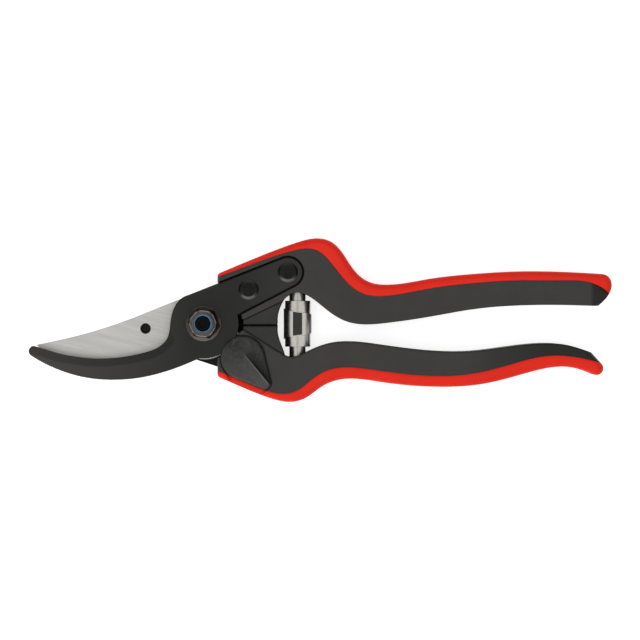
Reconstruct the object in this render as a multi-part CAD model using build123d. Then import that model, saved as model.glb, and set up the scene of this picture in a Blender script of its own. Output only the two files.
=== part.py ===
from build123d import *
import math
import os

# Bypass pruning shears, shut, lying on their back.
# +X runs from the pivot to the handles, the blades point to -X, and +Y is the hook blade's handle.
# +Z is up from the surface they lie on. The origin is on the pivot's axis, at that surface.
# The upper handle carries the hook blade, the pivot bolt and the nut.
# The lower handle carries the cutting blade and the thumb catch, and turns about the pivot.
# "Front" is the upward side, "back" the side that rests.

# ---- Thicknesses, from the back to the front ----
HANDLE_THICKNESS = 14.0
BOLT_HEAD_THICKNESS = 2.6
PIVOT_WASHER_THICKNESS = 0.8
BLADE_THICKNESS = 3.5
HOOK_THICKNESS = 5.6
SHEAR_GAP = 0.1        # between the two blades
AXIAL_PLAY = 0.05      # between turning faces

# ---- Fits ----
RUNNING_GAP = 0.05     # radial, shaft in bore
SEATED_GAP = 0.02      # radial, pieces that stay together
POCKET_GAP = 0.4       # round a tang in its pocket
SWEEP_GAP = 0.7        # between a handle and what turns past it

# ---- Travel ----
OPEN_ANGLE = 25.0      # degrees, from shut to fully open

# ---- Handles ----
GRIP_START = 70.0      # x where the long part of the handles begins
GRIP_LENGTH = 84.0
OUTER_ROUNDING = 2.4
HANDLE_END_RADIUS = OUTER_ROUNDING + 0.2
UPPER_END_RADIUS = HANDLE_END_RADIUS + 1.2
UPPER_END_TURN = 72       # degrees
INNER_ROUNDING = 0.7
NOSE_X = 5.3           # front end of both handles
NOSE_ROUNDING = 1.6    # of the nose's outer corner
UPPER_INNER_END = (0.981, 6.9)    # inner edge's end: share of the grip's length, y
LOWER_INNER_END = (0.948, -11.1)
END_FACET_LENGTH = 4.6            # sloped flat on the core's front and back at its end
END_FACET_SLOPE = 17.0            # degrees

# ---- Hook blade ----
HOOK_HUB_RADIUS = 13.4
HOOK_NECK_RADIUS = 12.5
HOOK_HEEL_OFFSET = 3.25    # from the pivot to the line of the tang's lower edge
HOOK_TANG_RADIUS = 5.9
HOOK_RIVETS = ((17.3, 13.2), (32.5, 19.9))
HOOK_BEVEL_WIDTH = 3.0
HOOK_BEVEL_DEPTH = 1.6
HOOK_EDGE_ROUNDING = 0.6
TANG_EDGE_BREAK = 0.5
LOCK_TOOTH_HEIGHT = 2.4
LOCK_TOOTH_START = -60.5   # degrees round the pivot
LOCK_TOOTH_END = -55.2
HOOK_TIP = (-67.6, -10.3)
HOOK_HUB_SPAN = (-100, 20)     # degrees round the pivot where the hub is at its full radius

# ---- Cutting blade ----
BLADE_HUB_RADIUS = 12.2
BLADE_SPINE_LEAN = 21.2        # degrees, of the straight part of the spine
BLADE_TIP = (-65.3, -8.2)
BLADE_GROUND_RADIUS = 13.8     # round land that slides on the hook blade
BLADE_GROUND_SPAN = (-100, -15)    # degrees round the pivot
BLADE_HEEL_RADIUS = 14.3
BLADE_TANG_RADIUS = 5.0
BLADE_TANG_END = (33.4, -20.8)
BLADE_TANG_OFFSET = 3.0        # from the pivot to the line of the tang's upper edge
BLADE_TANG_STEP = 0.3          # the tang's front lies this far below the ground land
BLADE_BEVEL_WIDTH = 5.0
BLADE_BEVEL_DEPTH = 2.7
BLADE_SCREWS = ((25.0, -17.0), BLADE_TANG_END)
BLADE_HOLE = (-22.9, -1.9)
BLADE_HOLE_RADIUS = 2.05
BLADE_HOLE_DEPTH = 2.4

# ---- Pivot ----
BOLT_RADIUS = 4.0
BOLT_THREAD_RADIUS = 3.0
BOLT_HEAD_FLATS = 12.0
BOLT_DIMPLE_RADIUS = 1.8
BOLT_DIMPLE_DEPTH = 1.4
BOLT_END_DROP = 1.0            # the bolt's end lies this far below the nut's collar
BOLT_EDGE_BREAK = 0.4
PIVOT_WASHER_RADIUS = 6.9
BUSHING_WALL = 1.2
NUT_FLANGE_RADIUS = 6.7
NUT_FLANGE_THICKNESS = 1.2
NUT_FLATS = 10.0
NUT_TURN = -8.0                # degrees, how the tightened hexagon stands
NUT_CROWN_RADIUS = 5.45        # cone that trims the hexagon's corners
NUT_CROWN_BREAK = 0.6
NUT_FLANGE_CONE = 0.7          # height of the cone between flange and hexagon
NUT_HEX_HEIGHT = 3.9
NUT_COLLAR_RADIUS = 4.35
NUT_COLLAR_HEIGHT = 1.6
NUT_COLLAR_ROUNDING = 0.5
NUT_INSERT_WALL = 0.45
NUT_INSERT_DROP = 0.45         # the nylon ring lies this far below the collar

# ---- Rivets and screws ----
RIVET_HEAD_RADIUS = 3.9
RIVET_HEAD_HEIGHT = 1.0
RIVET_HEAD_BREAK = 0.7
RIVET_RADIUS = 2.6
RIVET_WASHER_RADIUS = 5.0
RIVET_WASHER_THICKNESS = 0.8
RIVET_BACK_HEAD_HEIGHT = 1.4
RIVET_BACK_ROUNDING = 0.8
RIVET_BACK_DEPTH = 2.6         # washer seat below the handle's back
SCREW_RADIUS = 2.0
SCREW_HEAD_RADIUS = 3.6
SCREW_HEAD_HEIGHT = 1.6
SCREW_LENGTH = 8.0
SCREW_SOCKET_FLATS = 2.5
SCREW_HEAD_ROUNDING = 0.5
INSERT_WALL = 1.0

# ---- Bumpers ----
BUMPER_START_X = 15.3
BUMPER_UPPER_FACE = -0.25      # y of the upper bumper's stop face
BUMPER_GAP = 0.25              # between the two stop faces
BUMPER_LEAN = 3.0              # degrees of draft on the stop faces
BUMPER_RECESS = 0.3            # below the handle's faces
BUMPER_EDGE_BREAK = 0.4
BUMPER_TIP_X = 28.4
BUMPER_WINDOW = ((28.7, 4.5), (29.6, 7.2))     # x, and the distance from the stop face, of the curved end
BUMPER_KEY_RADIUS = 1.2
BUMPER_KEY_PLACE = 0.72        # share of the seam's length
BUMPER_KEY_MARGIN = 2.0
UPPER_SEAM = ((BUMPER_START_X, 1.6), (30.6, 8.9))
LOWER_SEAM = ((BUMPER_START_X, -2.3), (31.2, -12.2))
LIP_DROP = 1.4                 # the bumpers' lips lie this far below the hook
UPPER_LIP_END = 21.0           # degrees round the pivot
LOWER_LIP_END = -19.0

# ---- Spring ----
SPRING_X = 36.2
SPRING_CENTRE_Y = 0.0
SPRING_HALF_LENGTH = 12.9
SPRING_OUTER_RADIUS = 5.6
SPRING_INNER_RADIUS = 3.2
SPRING_STRIP = 0.45
SPRING_PITCH = 0.75            # radial step from one turn to the next
SPRING_SEAT_RADIUS = 4.3
SPRING_STUD_RADIUS = 1.8
SPRING_STUD_LENGTH = 3.2
SPRING_STUD_ROOT = 0.4         # how far the stud is sunk in the core
SPRING_SEAT_REACH = 5.0        # length of the seat's bore towards the middle
# Shares of the outer radius and of the half length, from the axis outwards.
SPRING_STEPS = [(0, 1), (0.62, 1), (0.70, 0.80), (0.885, 0.70), (0.93, 0.46), (0.965, 0.42), (1.02, 0.26)]
SPRING_HOLLOW = [(0, 0.66), (0.62, 0.60), (0.80, 0.30), (0.87, 0)]

# ---- Thumb catch ----
CATCH_AXIS = (15.1, -13.1)
CATCH_RADIUS = 8.3
CATCH_THICKNESS = 2.0
CATCH_TAIL_REACH = 12.9        # from the catch's axis to the centre of its tail's end
CATCH_TAIL_RADIUS = 2.3
CATCH_TAIL_ANGLE = -48.8
CATCH_TURN = 38.0              # from released to locked
CATCH_EDGE_ROUNDING = 0.8
CATCH_RIDGE_HEIGHT = 2.3       # at the tail
CATCH_RIDGE_START_HEIGHT = 0.9
CATCH_RIDGE_CREST = (1.5, 0.9)     # across the tail, steep side first
CATCH_RIDGE_FOOT = (1.9, -3.6)
CATCH_RIDGE_MARGIN = 0.7       # from the plate's outline
CATCH_RIDGE_ROOT = 0.6         # how far the ridge reaches into the plate
CATCH_HUB_RADIUS = 3.8
CATCH_LOBE_RADIUS = 5.9
CATCH_LOBE_START = 186.0       # degrees round the catch's axis, released
CATCH_LOBE_END = 220.0
CATCH_LOBE_THICKNESS = 4.2
CATCH_FLOAT = 0.3              # below the disc and round the lobe
CATCH_POCKET_GAP = 0.5
CATCH_SCREW_RADIUS = 2.0
CATCH_SCREW_HEAD_RADIUS = 3.5
CATCH_SCREW_HEAD_HEIGHT = 1.2
CATCH_SCREW_BITE = 0.4         # how far the screw reaches into the plate
CATCH_WASHER_THICKNESS = 0.5

# ---- Levels worked out from the thicknesses ----
BLADE_BACK = BOLT_HEAD_THICKNESS + PIVOT_WASHER_THICKNESS + AXIAL_PLAY
BLADE_FRONT = BLADE_BACK + BLADE_THICKNESS
TANG_FRONT = BLADE_FRONT - BLADE_TANG_STEP
HOOK_BACK = BLADE_FRONT + SHEAR_GAP
HOOK_FRONT = HOOK_BACK + HOOK_THICKNESS
CATCH_BACK = HOOK_FRONT + CATCH_FLOAT
CATCH_FRONT = CATCH_BACK + CATCH_THICKNESS
LOBE_BACK = CATCH_BACK - CATCH_LOBE_THICKNESS
NUT_HEX_TOP = HOOK_FRONT + NUT_FLANGE_THICKNESS + NUT_HEX_HEIGHT
NUT_TOP = NUT_HEX_TOP + NUT_COLLAR_HEIGHT
MID_LEVEL = HANDLE_THICKNESS / 2
THROUGH = HANDLE_THICKNESS + 2


# ---- Helpers ----
def polar(radius, degrees, centre=(0, 0)):
    """Point at a radius and an angle round a centre."""
    angle = math.radians(degrees)
    return (centre[0] + radius * math.cos(angle), centre[1] + radius * math.sin(angle))


def slab(edges, low, high):
    """A closed outline made solid between two heights."""
    return Pos(0, 0, low) * extrude(make_face(edges), amount=high - low)


def disc(centre, radius, low, high):
    """An upright cylinder between two heights."""
    return Pos(centre[0], centre[1], (low + high) / 2) * Cylinder(radius, high - low)


def ring(centre, inner, outer, low, high):
    return disc(centre, outer, low, high) - disc(centre, inner, low, high)


def hexagon(centre, flats, low, high):
    shape = RegularPolygon(flats / 2, 6, major_radius=False)
    return Pos(centre[0], centre[1], low) * extrude(shape, amount=high - low)


def sector(centre, radius, start, end, low, high):
    """A slice of a disc, from one angle to another."""
    first = polar(radius, start, centre)
    middle = polar(radius, (start + end) / 2, centre)
    last = polar(radius, end, centre)
    edges = [Line(centre, first), ThreePointArc(first, middle, last), Line(last, centre)]
    return slab(edges, low, high)


def tangent(hub_radius, centre, radius, side):
    """Ends of the line that touches a circle round the pivot and one at centre, on one side."""
    reach = math.hypot(*centre)
    lean = math.degrees(math.asin((hub_radius - radius) / reach))
    heading = math.degrees(math.atan2(centre[1], centre[0]))
    normal = heading + side * (90 - lean)
    return polar(hub_radius, normal), polar(radius, normal, centre)


def top_edges(body, curves):
    """The edges of a slab's top face that lie over the given curves."""
    top = body.faces().sort_by(Axis.Z)[-1]
    return [e for e in top.edges() for curve in curves if abs(e.length - curve.length) < 0.001]


def turned_towards(curve, radius, target):
    """An arc that carries a curve on to the left until it points straight at a target."""
    start, heading = curve @ 1, curve % 1
    centre = (start.X - radius * heading.Y, start.Y + radius * heading.X)
    reach = math.dist(centre, target)
    bearing = math.degrees(math.atan2(target[1] - centre[1], target[0] - centre[0]))
    leave = bearing - math.degrees(math.acos(radius / reach))
    turn = leave - math.degrees(math.atan2(heading.Y, heading.X)) + 90
    return JernArc(start, heading, radius, turn % 360)


def along_grip(stations):
    """Points of a handle's long part, from (share of the grip's length, y)."""
    return [(GRIP_START + share * GRIP_LENGTH, y) for share, y in stations]


# ---- Handle outlines ----
def upper_outer_edge():
    head = [(NOSE_X, 19.3), (18, 24.6), (31, 29.7), (37.5, 31.9), (43.4, 33.0), (48.8, 31.9),
            (52.6, 28.7), (56.2, 23.4), (60.2, 18.5), (64.6, 15.9), (GRIP_START, 15.1)]
    grip = along_grip([(0.2, 17.3), (0.4, 19.2), (0.6, 20.2), (0.8, 20.1), (1.0, 19.2)])
    return Spline(*head, *grip)


def upper_end():
    """The rounded end of the upper handle, from its outer to its inner edge."""
    outer = upper_outer_edge()
    corner = JernArc(outer @ 1, outer % 1, UPPER_END_RADIUS, -UPPER_END_TURN)
    inner = along_grip([UPPER_INNER_END])[0]
    return [corner, Spline(corner @ 1, inner, tangents=[corner % 1, (-1, -0.8)])]


def upper_inner_edge():
    """From the end of the handle to the spring's window."""
    grip = along_grip([UPPER_INNER_END, (0.8, 7.3), (0.6, 7.0), (0.4, 5.5), (0.2, 2.6)])
    head = [(GRIP_START, 0.2), (62, -0.3), (55.7, 0.7), (49.5, 3.9), (43.3, 8.8), (39.8, 11.1),
            (36.2, 12.1), (32.9, 11.1), (30.6, 8.9)]
    return Spline(*grip, *head)


def upper_split():
    """Where the grip meets the core, from the nose to the handle's end."""
    head = [(NOSE_X - 1, 17.7), (18.6, 22.9), (31, 27.2), (36, 28.5), (40.2, 29.0), (44.2, 28.1),
            (47.8, 25.1), (52.6, 19.2), (57, 14.4), (61.3, 11.7), (65.5, 10.7)]
    grip = along_grip([(0.0, 10.7), (0.2, 13.5), (0.4, 15.6), (0.6, 16.7), (0.8, 16.7),
                       (0.93, 16.1), (0.99, 14.2), (1.045, 10.2)])
    return Spline(*head, *grip)


def lower_outer_edge():
    head = [(NOSE_X, -20.5), (15.5, -24.9), (24.8, -28.5), (31, -30.1), (36.2, -29.9),
            (40.4, -28.1), (44.6, -25.0), (49, -22.6), (54, -21.4), (60, -21.4), (GRIP_START, -22.8)]
    grip = along_grip([(0.15, -24.1), (0.3, -24.4), (0.45, -23.3), (0.6, -20.3), (0.72, -17.6),
                       (0.82, -16.6), (0.9, -17.7), (0.96, -19.6)])
    return Spline(*head, *grip)


def lower_end():
    outer = lower_outer_edge()
    target = along_grip([LOWER_INNER_END])[0]
    corner = turned_towards(outer, HANDLE_END_RADIUS, target)
    return [corner, Line(corner @ 1, target)]


def lower_inner_edge():
    grip = along_grip([LOWER_INNER_END, (0.9, -9.7), (0.83, -8.1), (0.74, -7.5), (0.6, -8.4),
                       (0.4, -10.5), (0.2, -10.3)])
    head = [(GRIP_START, -8.3), (62, -7.2), (55.7, -6.8), (49.5, -7.3), (43.3, -9.2), (37.4, -11.9),
            (34.2, -12.8), (31.2, -12.2)]
    return Spline(*grip, *head)


def lower_split():
    head = [(NOSE_X - 1, -17.7), (12.4, -21.1), (18.6, -23.7), (24.8, -26.0), (30.4, -27.0),
            (35.8, -25.9), (40.2, -22.8), (45.8, -18.8), (52, -17.0), (59, -17.0)]
    grip = along_grip([(0.0, -18.4), (0.18, -20.0), (0.32, -20.0), (0.46, -18.3), (0.6, -15.1),
                       (0.72, -12.7), (0.8, -12.3), (0.9, -13.3), (1.03, -16.0)])
    return Spline(*head, *grip)


def handle_body(outer, end, inner, head_points):
    """A whole handle, core and grip together, with its long edges rounded."""
    corners = [inner @ 1, *head_points, outer @ 0]
    edges = [outer, *end, inner] + [Line(a, b) for a, b in zip(corners, corners[1:])]
    plan = make_face(edges)
    nose = plan.vertices().sort_by_distance(outer @ 0)[0]
    body = extrude(fillet(nose, NOSE_ROUNDING), amount=HANDLE_THICKNESS)
    body = fillet(edges_along(body, [outer, *end]), OUTER_ROUNDING)
    return fillet(edges_along(body, [inner]), INNER_ROUNDING)


def edges_along(body, curves):
    """The body's front and back edges that lie over any of the curves."""
    found = []
    for edge in body.edges():
        middle = edge @ 0.5
        flat = abs((edge @ 0).Z - (edge @ 1).Z) < 0.001 and abs(middle.Z - (edge @ 0).Z) < 0.001
        on_face = min(abs(middle.Z), abs(middle.Z - HANDLE_THICKNESS)) < 0.001
        if flat and on_face:
            foot = Vector(middle.X, middle.Y, 0)
            if any(curve.distance_to(foot) < 0.05 for curve in curves):
                found.append(edge)
    return found


def grip_zone(split, outward):
    """The space beyond the line where the grip meets the core."""
    far_y = outward * 60
    start, finish = split @ 0, split @ 1
    corners = [finish, (finish.X + 20, finish.Y), (finish.X + 20, far_y), (start.X, far_y), start]
    edges = [split] + [Line(a, b) for a, b in zip(corners, corners[1:])]
    return slab(edges, -1, THROUGH)


def end_facets(core):
    """The core with sloped flats on its front and back at the handle's end."""
    start = GRIP_START + GRIP_LENGTH - END_FACET_LENGTH
    cutter = Box(3 * END_FACET_LENGTH, 60, THROUGH, align=(Align.MIN, Align.CENTER, Align.MIN))
    core -= Pos(start, 0, HANDLE_THICKNESS) * Rot(0, END_FACET_SLOPE, 0) * cutter
    return core - Pos(start, 0, 0) * Rot(0, -END_FACET_SLOPE, 0) * Pos(0, 0, -THROUGH) * cutter


# ---- Tangs ----
def hook_tang(grow, low, high, edge_break=0):
    """The hook blade's tang and hub, grown sideways by a gap, with the tang's front edge broken."""
    end = HOOK_RIVETS[1]
    a, b = tangent(HOOK_NECK_RADIUS + grow, end, HOOK_TANG_RADIUS + grow, 1)
    d, c = tangent(HOOK_HEEL_OFFSET + grow, end, HOOK_TANG_RADIUS + grow, -1)
    tip = polar(HOOK_TANG_RADIUS + grow, math.degrees(math.atan2(end[1], end[0])), end)
    sides = [Line(a, b), ThreePointArc(b, tip, c), Line(c, d)]
    tang = slab(sides + [Line(d, (0, 0)), Line((0, 0), a)], low, high)
    if edge_break:
        tang = chamfer(top_edges(tang, sides), edge_break)
    tang += disc((0, 0), HOOK_NECK_RADIUS + grow, low, high)
    return tang + sector((0, 0), HOOK_HUB_RADIUS + grow, *HOOK_HUB_SPAN, low, high)


def blade_tang(grow, low, high):
    """The cutting blade's tang, grown sideways by a gap."""
    end = BLADE_TANG_END
    radius = BLADE_TANG_RADIUS + grow
    a, b = tangent(BLADE_HEEL_RADIUS + grow, end, radius, -1)
    d, c = tangent(BLADE_TANG_OFFSET + grow, end, radius, 1)
    tip = polar(radius, math.degrees(math.atan2(end[1], end[0])), end)
    edges = [Line(a, b), ThreePointArc(b, tip, c), Line(c, d), Line(d, (0, 0)), Line((0, 0), a)]
    return slab(edges, low, high)


# ---- Blades ----
def hook_blade():
    """The curved counter blade, bevelled towards the cut, with its tang and the catch's tooth."""
    inner = Spline((-66.2, -8.6), (-61.9, -9.8), (-55.7, -11.7), (-49.5, -12.8), (-43.3, -13.45),
                   (-37.2, -13.4), (-31, -12.8), (-22.2, -10.9), (-17.3, -8.9), (-14.1, -5.4),
                   (-12.9, 0.9), (-11.1, 7.0), (-5.4, 11.3))
    outer = Spline((-2.2, -13.6), (-8.5, -16.3), (-17.8, -19.4), (-26, -21.1), (-35, -21.7),
                   (-45.7, -20.8), (-55, -18.2), (-62, -15.1), (-66.6, -12.4))
    tip = ThreePointArc(outer @ 1, HOOK_TIP, inner @ 0)
    edges = [inner, Line(inner @ 1, (0, 0)), Line((0, 0), outer @ 0), outer, tip]
    jaw = slab(edges, HOOK_BACK, HOOK_FRONT)
    front = jaw.faces().sort_by(Axis.Z)[-1]
    jaw = chamfer(top_edges(jaw, [inner]), length=HOOK_BEVEL_WIDTH, length2=HOOK_BEVEL_DEPTH, reference=front)
    jaw = fillet(top_edges(jaw, [outer]), HOOK_EDGE_ROUNDING)
    blade = jaw + hook_tang(0, HOOK_BACK, HOOK_FRONT, TANG_EDGE_BREAK)
    blade += sector((0, 0), HOOK_HUB_RADIUS + LOCK_TOOTH_HEIGHT, LOCK_TOOTH_START, LOCK_TOOTH_END,
                    HOOK_BACK, HOOK_FRONT)
    blade -= disc((0, 0), BOLT_RADIUS + SEATED_GAP, HOOK_BACK, HOOK_FRONT)
    for place in HOOK_RIVETS:
        blade -= disc(place, RIVET_RADIUS + SEATED_GAP, HOOK_BACK, HOOK_FRONT)
    return blade


def cutting_blade():
    """The ground blade: flat on the side of the hook, bevelled behind, with its tang and hub."""
    spine_end = polar(BLADE_HUB_RADIUS, 90 + BLADE_SPINE_LEAN)
    spine = Spline(BLADE_TIP, (-58.8, -6.8), (-49.5, -4.7), (-40.2, -2.05), (-31, 1.05), (-20, 5.4),
                   spine_end)
    heel = polar(BLADE_GROUND_RADIUS, BLADE_GROUND_SPAN[0])
    edge = Spline(heel, (-9, -13.6), (-15, -14.4), (-23, -16.0), (-33, -17.3), (-43, -17.1),
                  (-52, -15.5), (-60, -12.2), BLADE_TIP)
    jaw = slab([spine, Line(spine_end, (0, 0)), Line((0, 0), heel), edge], BLADE_BACK, BLADE_FRONT)
    back = jaw.faces().sort_by(Axis.Z)[0]
    cut_edge = [e for e in back.edges() if abs(e.length - edge.length) < 0.001]
    jaw = chamfer(cut_edge, length=BLADE_BEVEL_WIDTH, length2=BLADE_BEVEL_DEPTH, reference=back)
    blade = jaw + disc((0, 0), BLADE_HUB_RADIUS, BLADE_BACK, BLADE_FRONT)
    blade += sector((0, 0), BLADE_GROUND_RADIUS, *BLADE_GROUND_SPAN, BLADE_BACK, BLADE_FRONT)
    blade += blade_tang(0, BLADE_BACK, TANG_FRONT)
    blade -= disc((0, 0), BOLT_RADIUS + RUNNING_GAP + BUSHING_WALL + SEATED_GAP, BLADE_BACK, BLADE_FRONT)
    blade -= disc(BLADE_HOLE, BLADE_HOLE_RADIUS, BLADE_FRONT - BLADE_HOLE_DEPTH, BLADE_FRONT)
    for place in BLADE_SCREWS:
        blade -= disc(place, SCREW_RADIUS + SEATED_GAP, BLADE_BACK, BLADE_FRONT)
    return blade - disc(CATCH_AXIS, CATCH_SCREW_RADIUS + RUNNING_GAP, BLADE_BACK, BLADE_FRONT)


# ---- Handles ----
def seam(side):
    """The ends of the line where a bumper meets its core."""
    return UPPER_SEAM if side > 0 else LOWER_SEAM


def spring_socket(side, core):
    """The core with the spring's seat sunk in its inner edge, and the stud that locates the coil."""
    floor = SPRING_CENTRE_Y + side * SPRING_HALF_LENGTH
    centre = floor - side * SPRING_SEAT_REACH / 2
    core -= Pos(SPRING_X, centre, MID_LEVEL) * Rot(90, 0, 0) * Cylinder(SPRING_SEAT_RADIUS, SPRING_SEAT_REACH)
    stud_centre = floor - side * (SPRING_STUD_LENGTH - SPRING_STUD_ROOT) / 2
    stud = Cylinder(SPRING_STUD_RADIUS, SPRING_STUD_LENGTH + SPRING_STUD_ROOT)
    stud = Pos(SPRING_X, stud_centre, MID_LEVEL) * Rot(90, 0, 0) * stud
    return core + stud


def upper_handle():
    head = [UPPER_SEAM[0], (NOSE_X, 10)]
    body = handle_body(upper_outer_edge(), upper_end(), upper_inner_edge(), head)
    return body - disc((0, 0), BLADE_HEEL_RADIUS + SWEEP_GAP, -1, THROUGH)


def upper_core():
    core = end_facets(upper_handle() - grip_zone(upper_split(), 1))
    core -= hook_tang(POCKET_GAP, HOOK_BACK, THROUGH)
    for place in HOOK_RIVETS:
        core -= disc(place, RIVET_RADIUS + SEATED_GAP, -1, THROUGH)
        core -= disc(place, RIVET_WASHER_RADIUS + SEATED_GAP, -1, RIVET_BACK_DEPTH)
    core = spring_socket(1, core)
    return core - bumper_key(1, SEATED_GAP)


def upper_grip():
    return upper_handle() & grip_zone(upper_split(), 1)


def lower_handle():
    head = [LOWER_SEAM[0], (NOSE_X, -10)]
    body = handle_body(lower_outer_edge(), lower_end(), lower_inner_edge(), head)
    body -= disc((0, 0), BLADE_HEEL_RADIUS, -1, THROUGH)
    return body - catch_pocket()


def lower_core():
    core = end_facets(lower_handle() - grip_zone(lower_split(), -1))
    core -= blade_tang(POCKET_GAP, -1, TANG_FRONT)
    core -= sector((0, 0), HOOK_HUB_RADIUS + LOCK_TOOTH_HEIGHT + CATCH_FLOAT, LOCK_TOOTH_START - 1,
                   LOCK_TOOTH_END + OPEN_ANGLE + 1, TANG_FRONT, THROUGH)
    core -= disc(CATCH_AXIS, CATCH_LOBE_RADIUS + CATCH_FLOAT, LOBE_BACK - CATCH_FLOAT, THROUGH)
    core -= disc(CATCH_AXIS, CATCH_SCREW_RADIUS + RUNNING_GAP, 0, THROUGH)
    for place in BLADE_SCREWS:
        core -= disc(place, SCREW_RADIUS + INSERT_WALL + SEATED_GAP, 0, BLADE_BACK + SCREW_LENGTH)
    core = spring_socket(-1, core)
    return core - bumper_key(-1, SEATED_GAP)


def lower_grip():
    return lower_handle() & grip_zone(lower_split(), -1)


# ---- Bumpers ----
def bumper_key(side, grow):
    """The rib under a bumper's seam that keys it into its core."""
    start, end = seam(side)
    x = start[0] + BUMPER_KEY_PLACE * (end[0] - start[0])
    y = start[1] + BUMPER_KEY_PLACE * (end[1] - start[1])
    centre = (x, y + side * BUMPER_KEY_RADIUS * 0.7)
    low = BUMPER_KEY_MARGIN if side > 0 else TANG_FRONT + 1
    high = HOOK_BACK - 1 if side > 0 else HANDLE_THICKNESS - BUMPER_KEY_MARGIN
    return disc(centre, BUMPER_KEY_RADIUS + grow, low - grow, high + grow)


def stop_face_y(side):
    return BUMPER_UPPER_FACE if side > 0 else BUMPER_UPPER_FACE - BUMPER_GAP


def beyond_stop_face(side):
    """The space past a bumper's leaning stop face, on the other bumper's side."""
    if side > 0:
        align = (Align.CENTER, Align.MAX, Align.CENTER)
    else:
        align = (Align.CENTER, Align.MIN, Align.CENTER)
    block = Box(2 * SPRING_X, SPRING_X, 2 * THROUGH, align=align)
    return Pos(SPRING_X / 2, stop_face_y(side), MID_LEVEL) * Rot(BUMPER_LEAN, 0, 0) * block


def bumper_lip(side):
    """A low web that carries a bumper on to the pivot, under the hook's hub."""
    spare = stop_face_y(side) - side * 1.5
    handle_cut = BLADE_HEEL_RADIUS + (SWEEP_GAP if side > 0 else 0)
    spread = (-5, UPPER_LIP_END) if side > 0 else (LOWER_LIP_END, 5)
    seam_y = seam(side)[0][1] - side * SEATED_GAP
    low, high = BUMPER_RECESS, HOOK_BACK - LIP_DROP
    root_x = BUMPER_START_X + 0.1
    corners = [(0, spare), (root_x, spare), (root_x, seam_y), (0, seam_y), (0, spare)]
    root = [Line(a, b) for a, b in zip(corners, corners[1:])]
    lip = sector((0, 0), handle_cut - SEATED_GAP, *spread, low, high) + slab(root, low, high)
    lip -= disc((0, 0), BLADE_HUB_RADIUS + SWEEP_GAP, low, high)
    lip -= sector((0, 0), BLADE_GROUND_RADIUS + SEATED_GAP, -90, BLADE_GROUND_SPAN[1] + 0.3, low, high)
    return lip - beyond_stop_face(side)


def bumper(side):
    """A rubber wedge between the pivot and the spring, keyed into its core."""
    start, end = seam(side)
    face = stop_face_y(side)
    spare = face - side * 1.5
    tip = (BUMPER_TIP_X, face + side * 0.5)
    curve = [(x, face + side * rise) for x, rise in BUMPER_WINDOW]
    window = Spline(tip, *curve, end)
    corners = [end, start, (start[0], spare), (BUMPER_TIP_X - 0.4, spare), tip]
    edges = [window] + [Line(a, b) for a, b in zip(corners, corners[1:])]
    wedge = slab(edges, BUMPER_RECESS, HANDLE_THICKNESS - BUMPER_RECESS) - beyond_stop_face(side)
    top = wedge.faces().sort_by(Axis.Z)[-1]
    wedge = chamfer(top.edges().filter_by(GeomType.LINE).sort_by(SortBy.LENGTH)[-2:], BUMPER_EDGE_BREAK)
    return wedge + bumper_key(side, 0) + bumper_lip(side)


def upper_bumper():
    return bumper(1)


def lower_bumper():
    return bumper(-1)


# ---- Pivot ----
def pivot_bolt():
    head = hexagon((0, 0), BOLT_HEAD_FLATS, 0, BOLT_HEAD_THICKNESS)
    head = chamfer(head.edges().group_by(Axis.Z)[0], BOLT_EDGE_BREAK)
    end = NUT_TOP - BOLT_END_DROP
    thread = disc((0, 0), BOLT_THREAD_RADIUS, BOLT_HEAD_THICKNESS, end)
    thread = chamfer(thread.edges().group_by(Axis.Z)[-1], BOLT_EDGE_BREAK)
    bolt = head + disc((0, 0), BOLT_RADIUS, BOLT_HEAD_THICKNESS, HOOK_FRONT - BOLT_EDGE_BREAK) + thread
    return bolt - disc((0, 0), BOLT_DIMPLE_RADIUS, end - BOLT_DIMPLE_DEPTH, end)


def pivot_washer():
    return ring((0, 0), BOLT_RADIUS + SEATED_GAP, PIVOT_WASHER_RADIUS, BOLT_HEAD_THICKNESS,
                BOLT_HEAD_THICKNESS + PIVOT_WASHER_THICKNESS)


def pivot_bushing():
    inner = BOLT_RADIUS + RUNNING_GAP
    return ring((0, 0), inner, inner + BUSHING_WALL, BLADE_BACK, BLADE_FRONT)


def pivot_nut():
    """Flanged lock nut: a coned flange, the hexagon and a rolled collar that holds the insert."""
    bore = BOLT_THREAD_RADIUS + SEATED_GAP
    flange_top = HOOK_FRONT + NUT_FLANGE_THICKNESS
    cone = Cone(NUT_FLANGE_RADIUS - 0.1, NUT_FLATS / 2, NUT_FLANGE_CONE,
                align=(Align.CENTER, Align.CENTER, Align.MIN))
    nut = disc((0, 0), NUT_FLANGE_RADIUS, HOOK_FRONT, flange_top) + Pos(0, 0, flange_top) * cone
    crown = disc((0, 0), NUT_CROWN_RADIUS, flange_top, NUT_HEX_TOP)
    crown = chamfer(crown.edges().group_by(Axis.Z)[-1], NUT_CROWN_BREAK)
    nut += (Rot(0, 0, NUT_TURN) * hexagon((0, 0), NUT_FLATS, flange_top, NUT_HEX_TOP)) & crown
    collar = disc((0, 0), NUT_COLLAR_RADIUS, NUT_HEX_TOP, NUT_TOP)
    nut += fillet(collar.edges().group_by(Axis.Z)[-1], NUT_COLLAR_ROUNDING)
    nut -= disc((0, 0), bore, HOOK_FRONT, NUT_TOP)
    return nut - disc((0, 0), bore + NUT_INSERT_WALL + SEATED_GAP, NUT_HEX_TOP, NUT_TOP)


def nut_insert():
    bore = BOLT_THREAD_RADIUS + SEATED_GAP
    return ring((0, 0), bore, bore + NUT_INSERT_WALL, NUT_HEX_TOP, NUT_TOP - NUT_INSERT_DROP)


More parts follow.
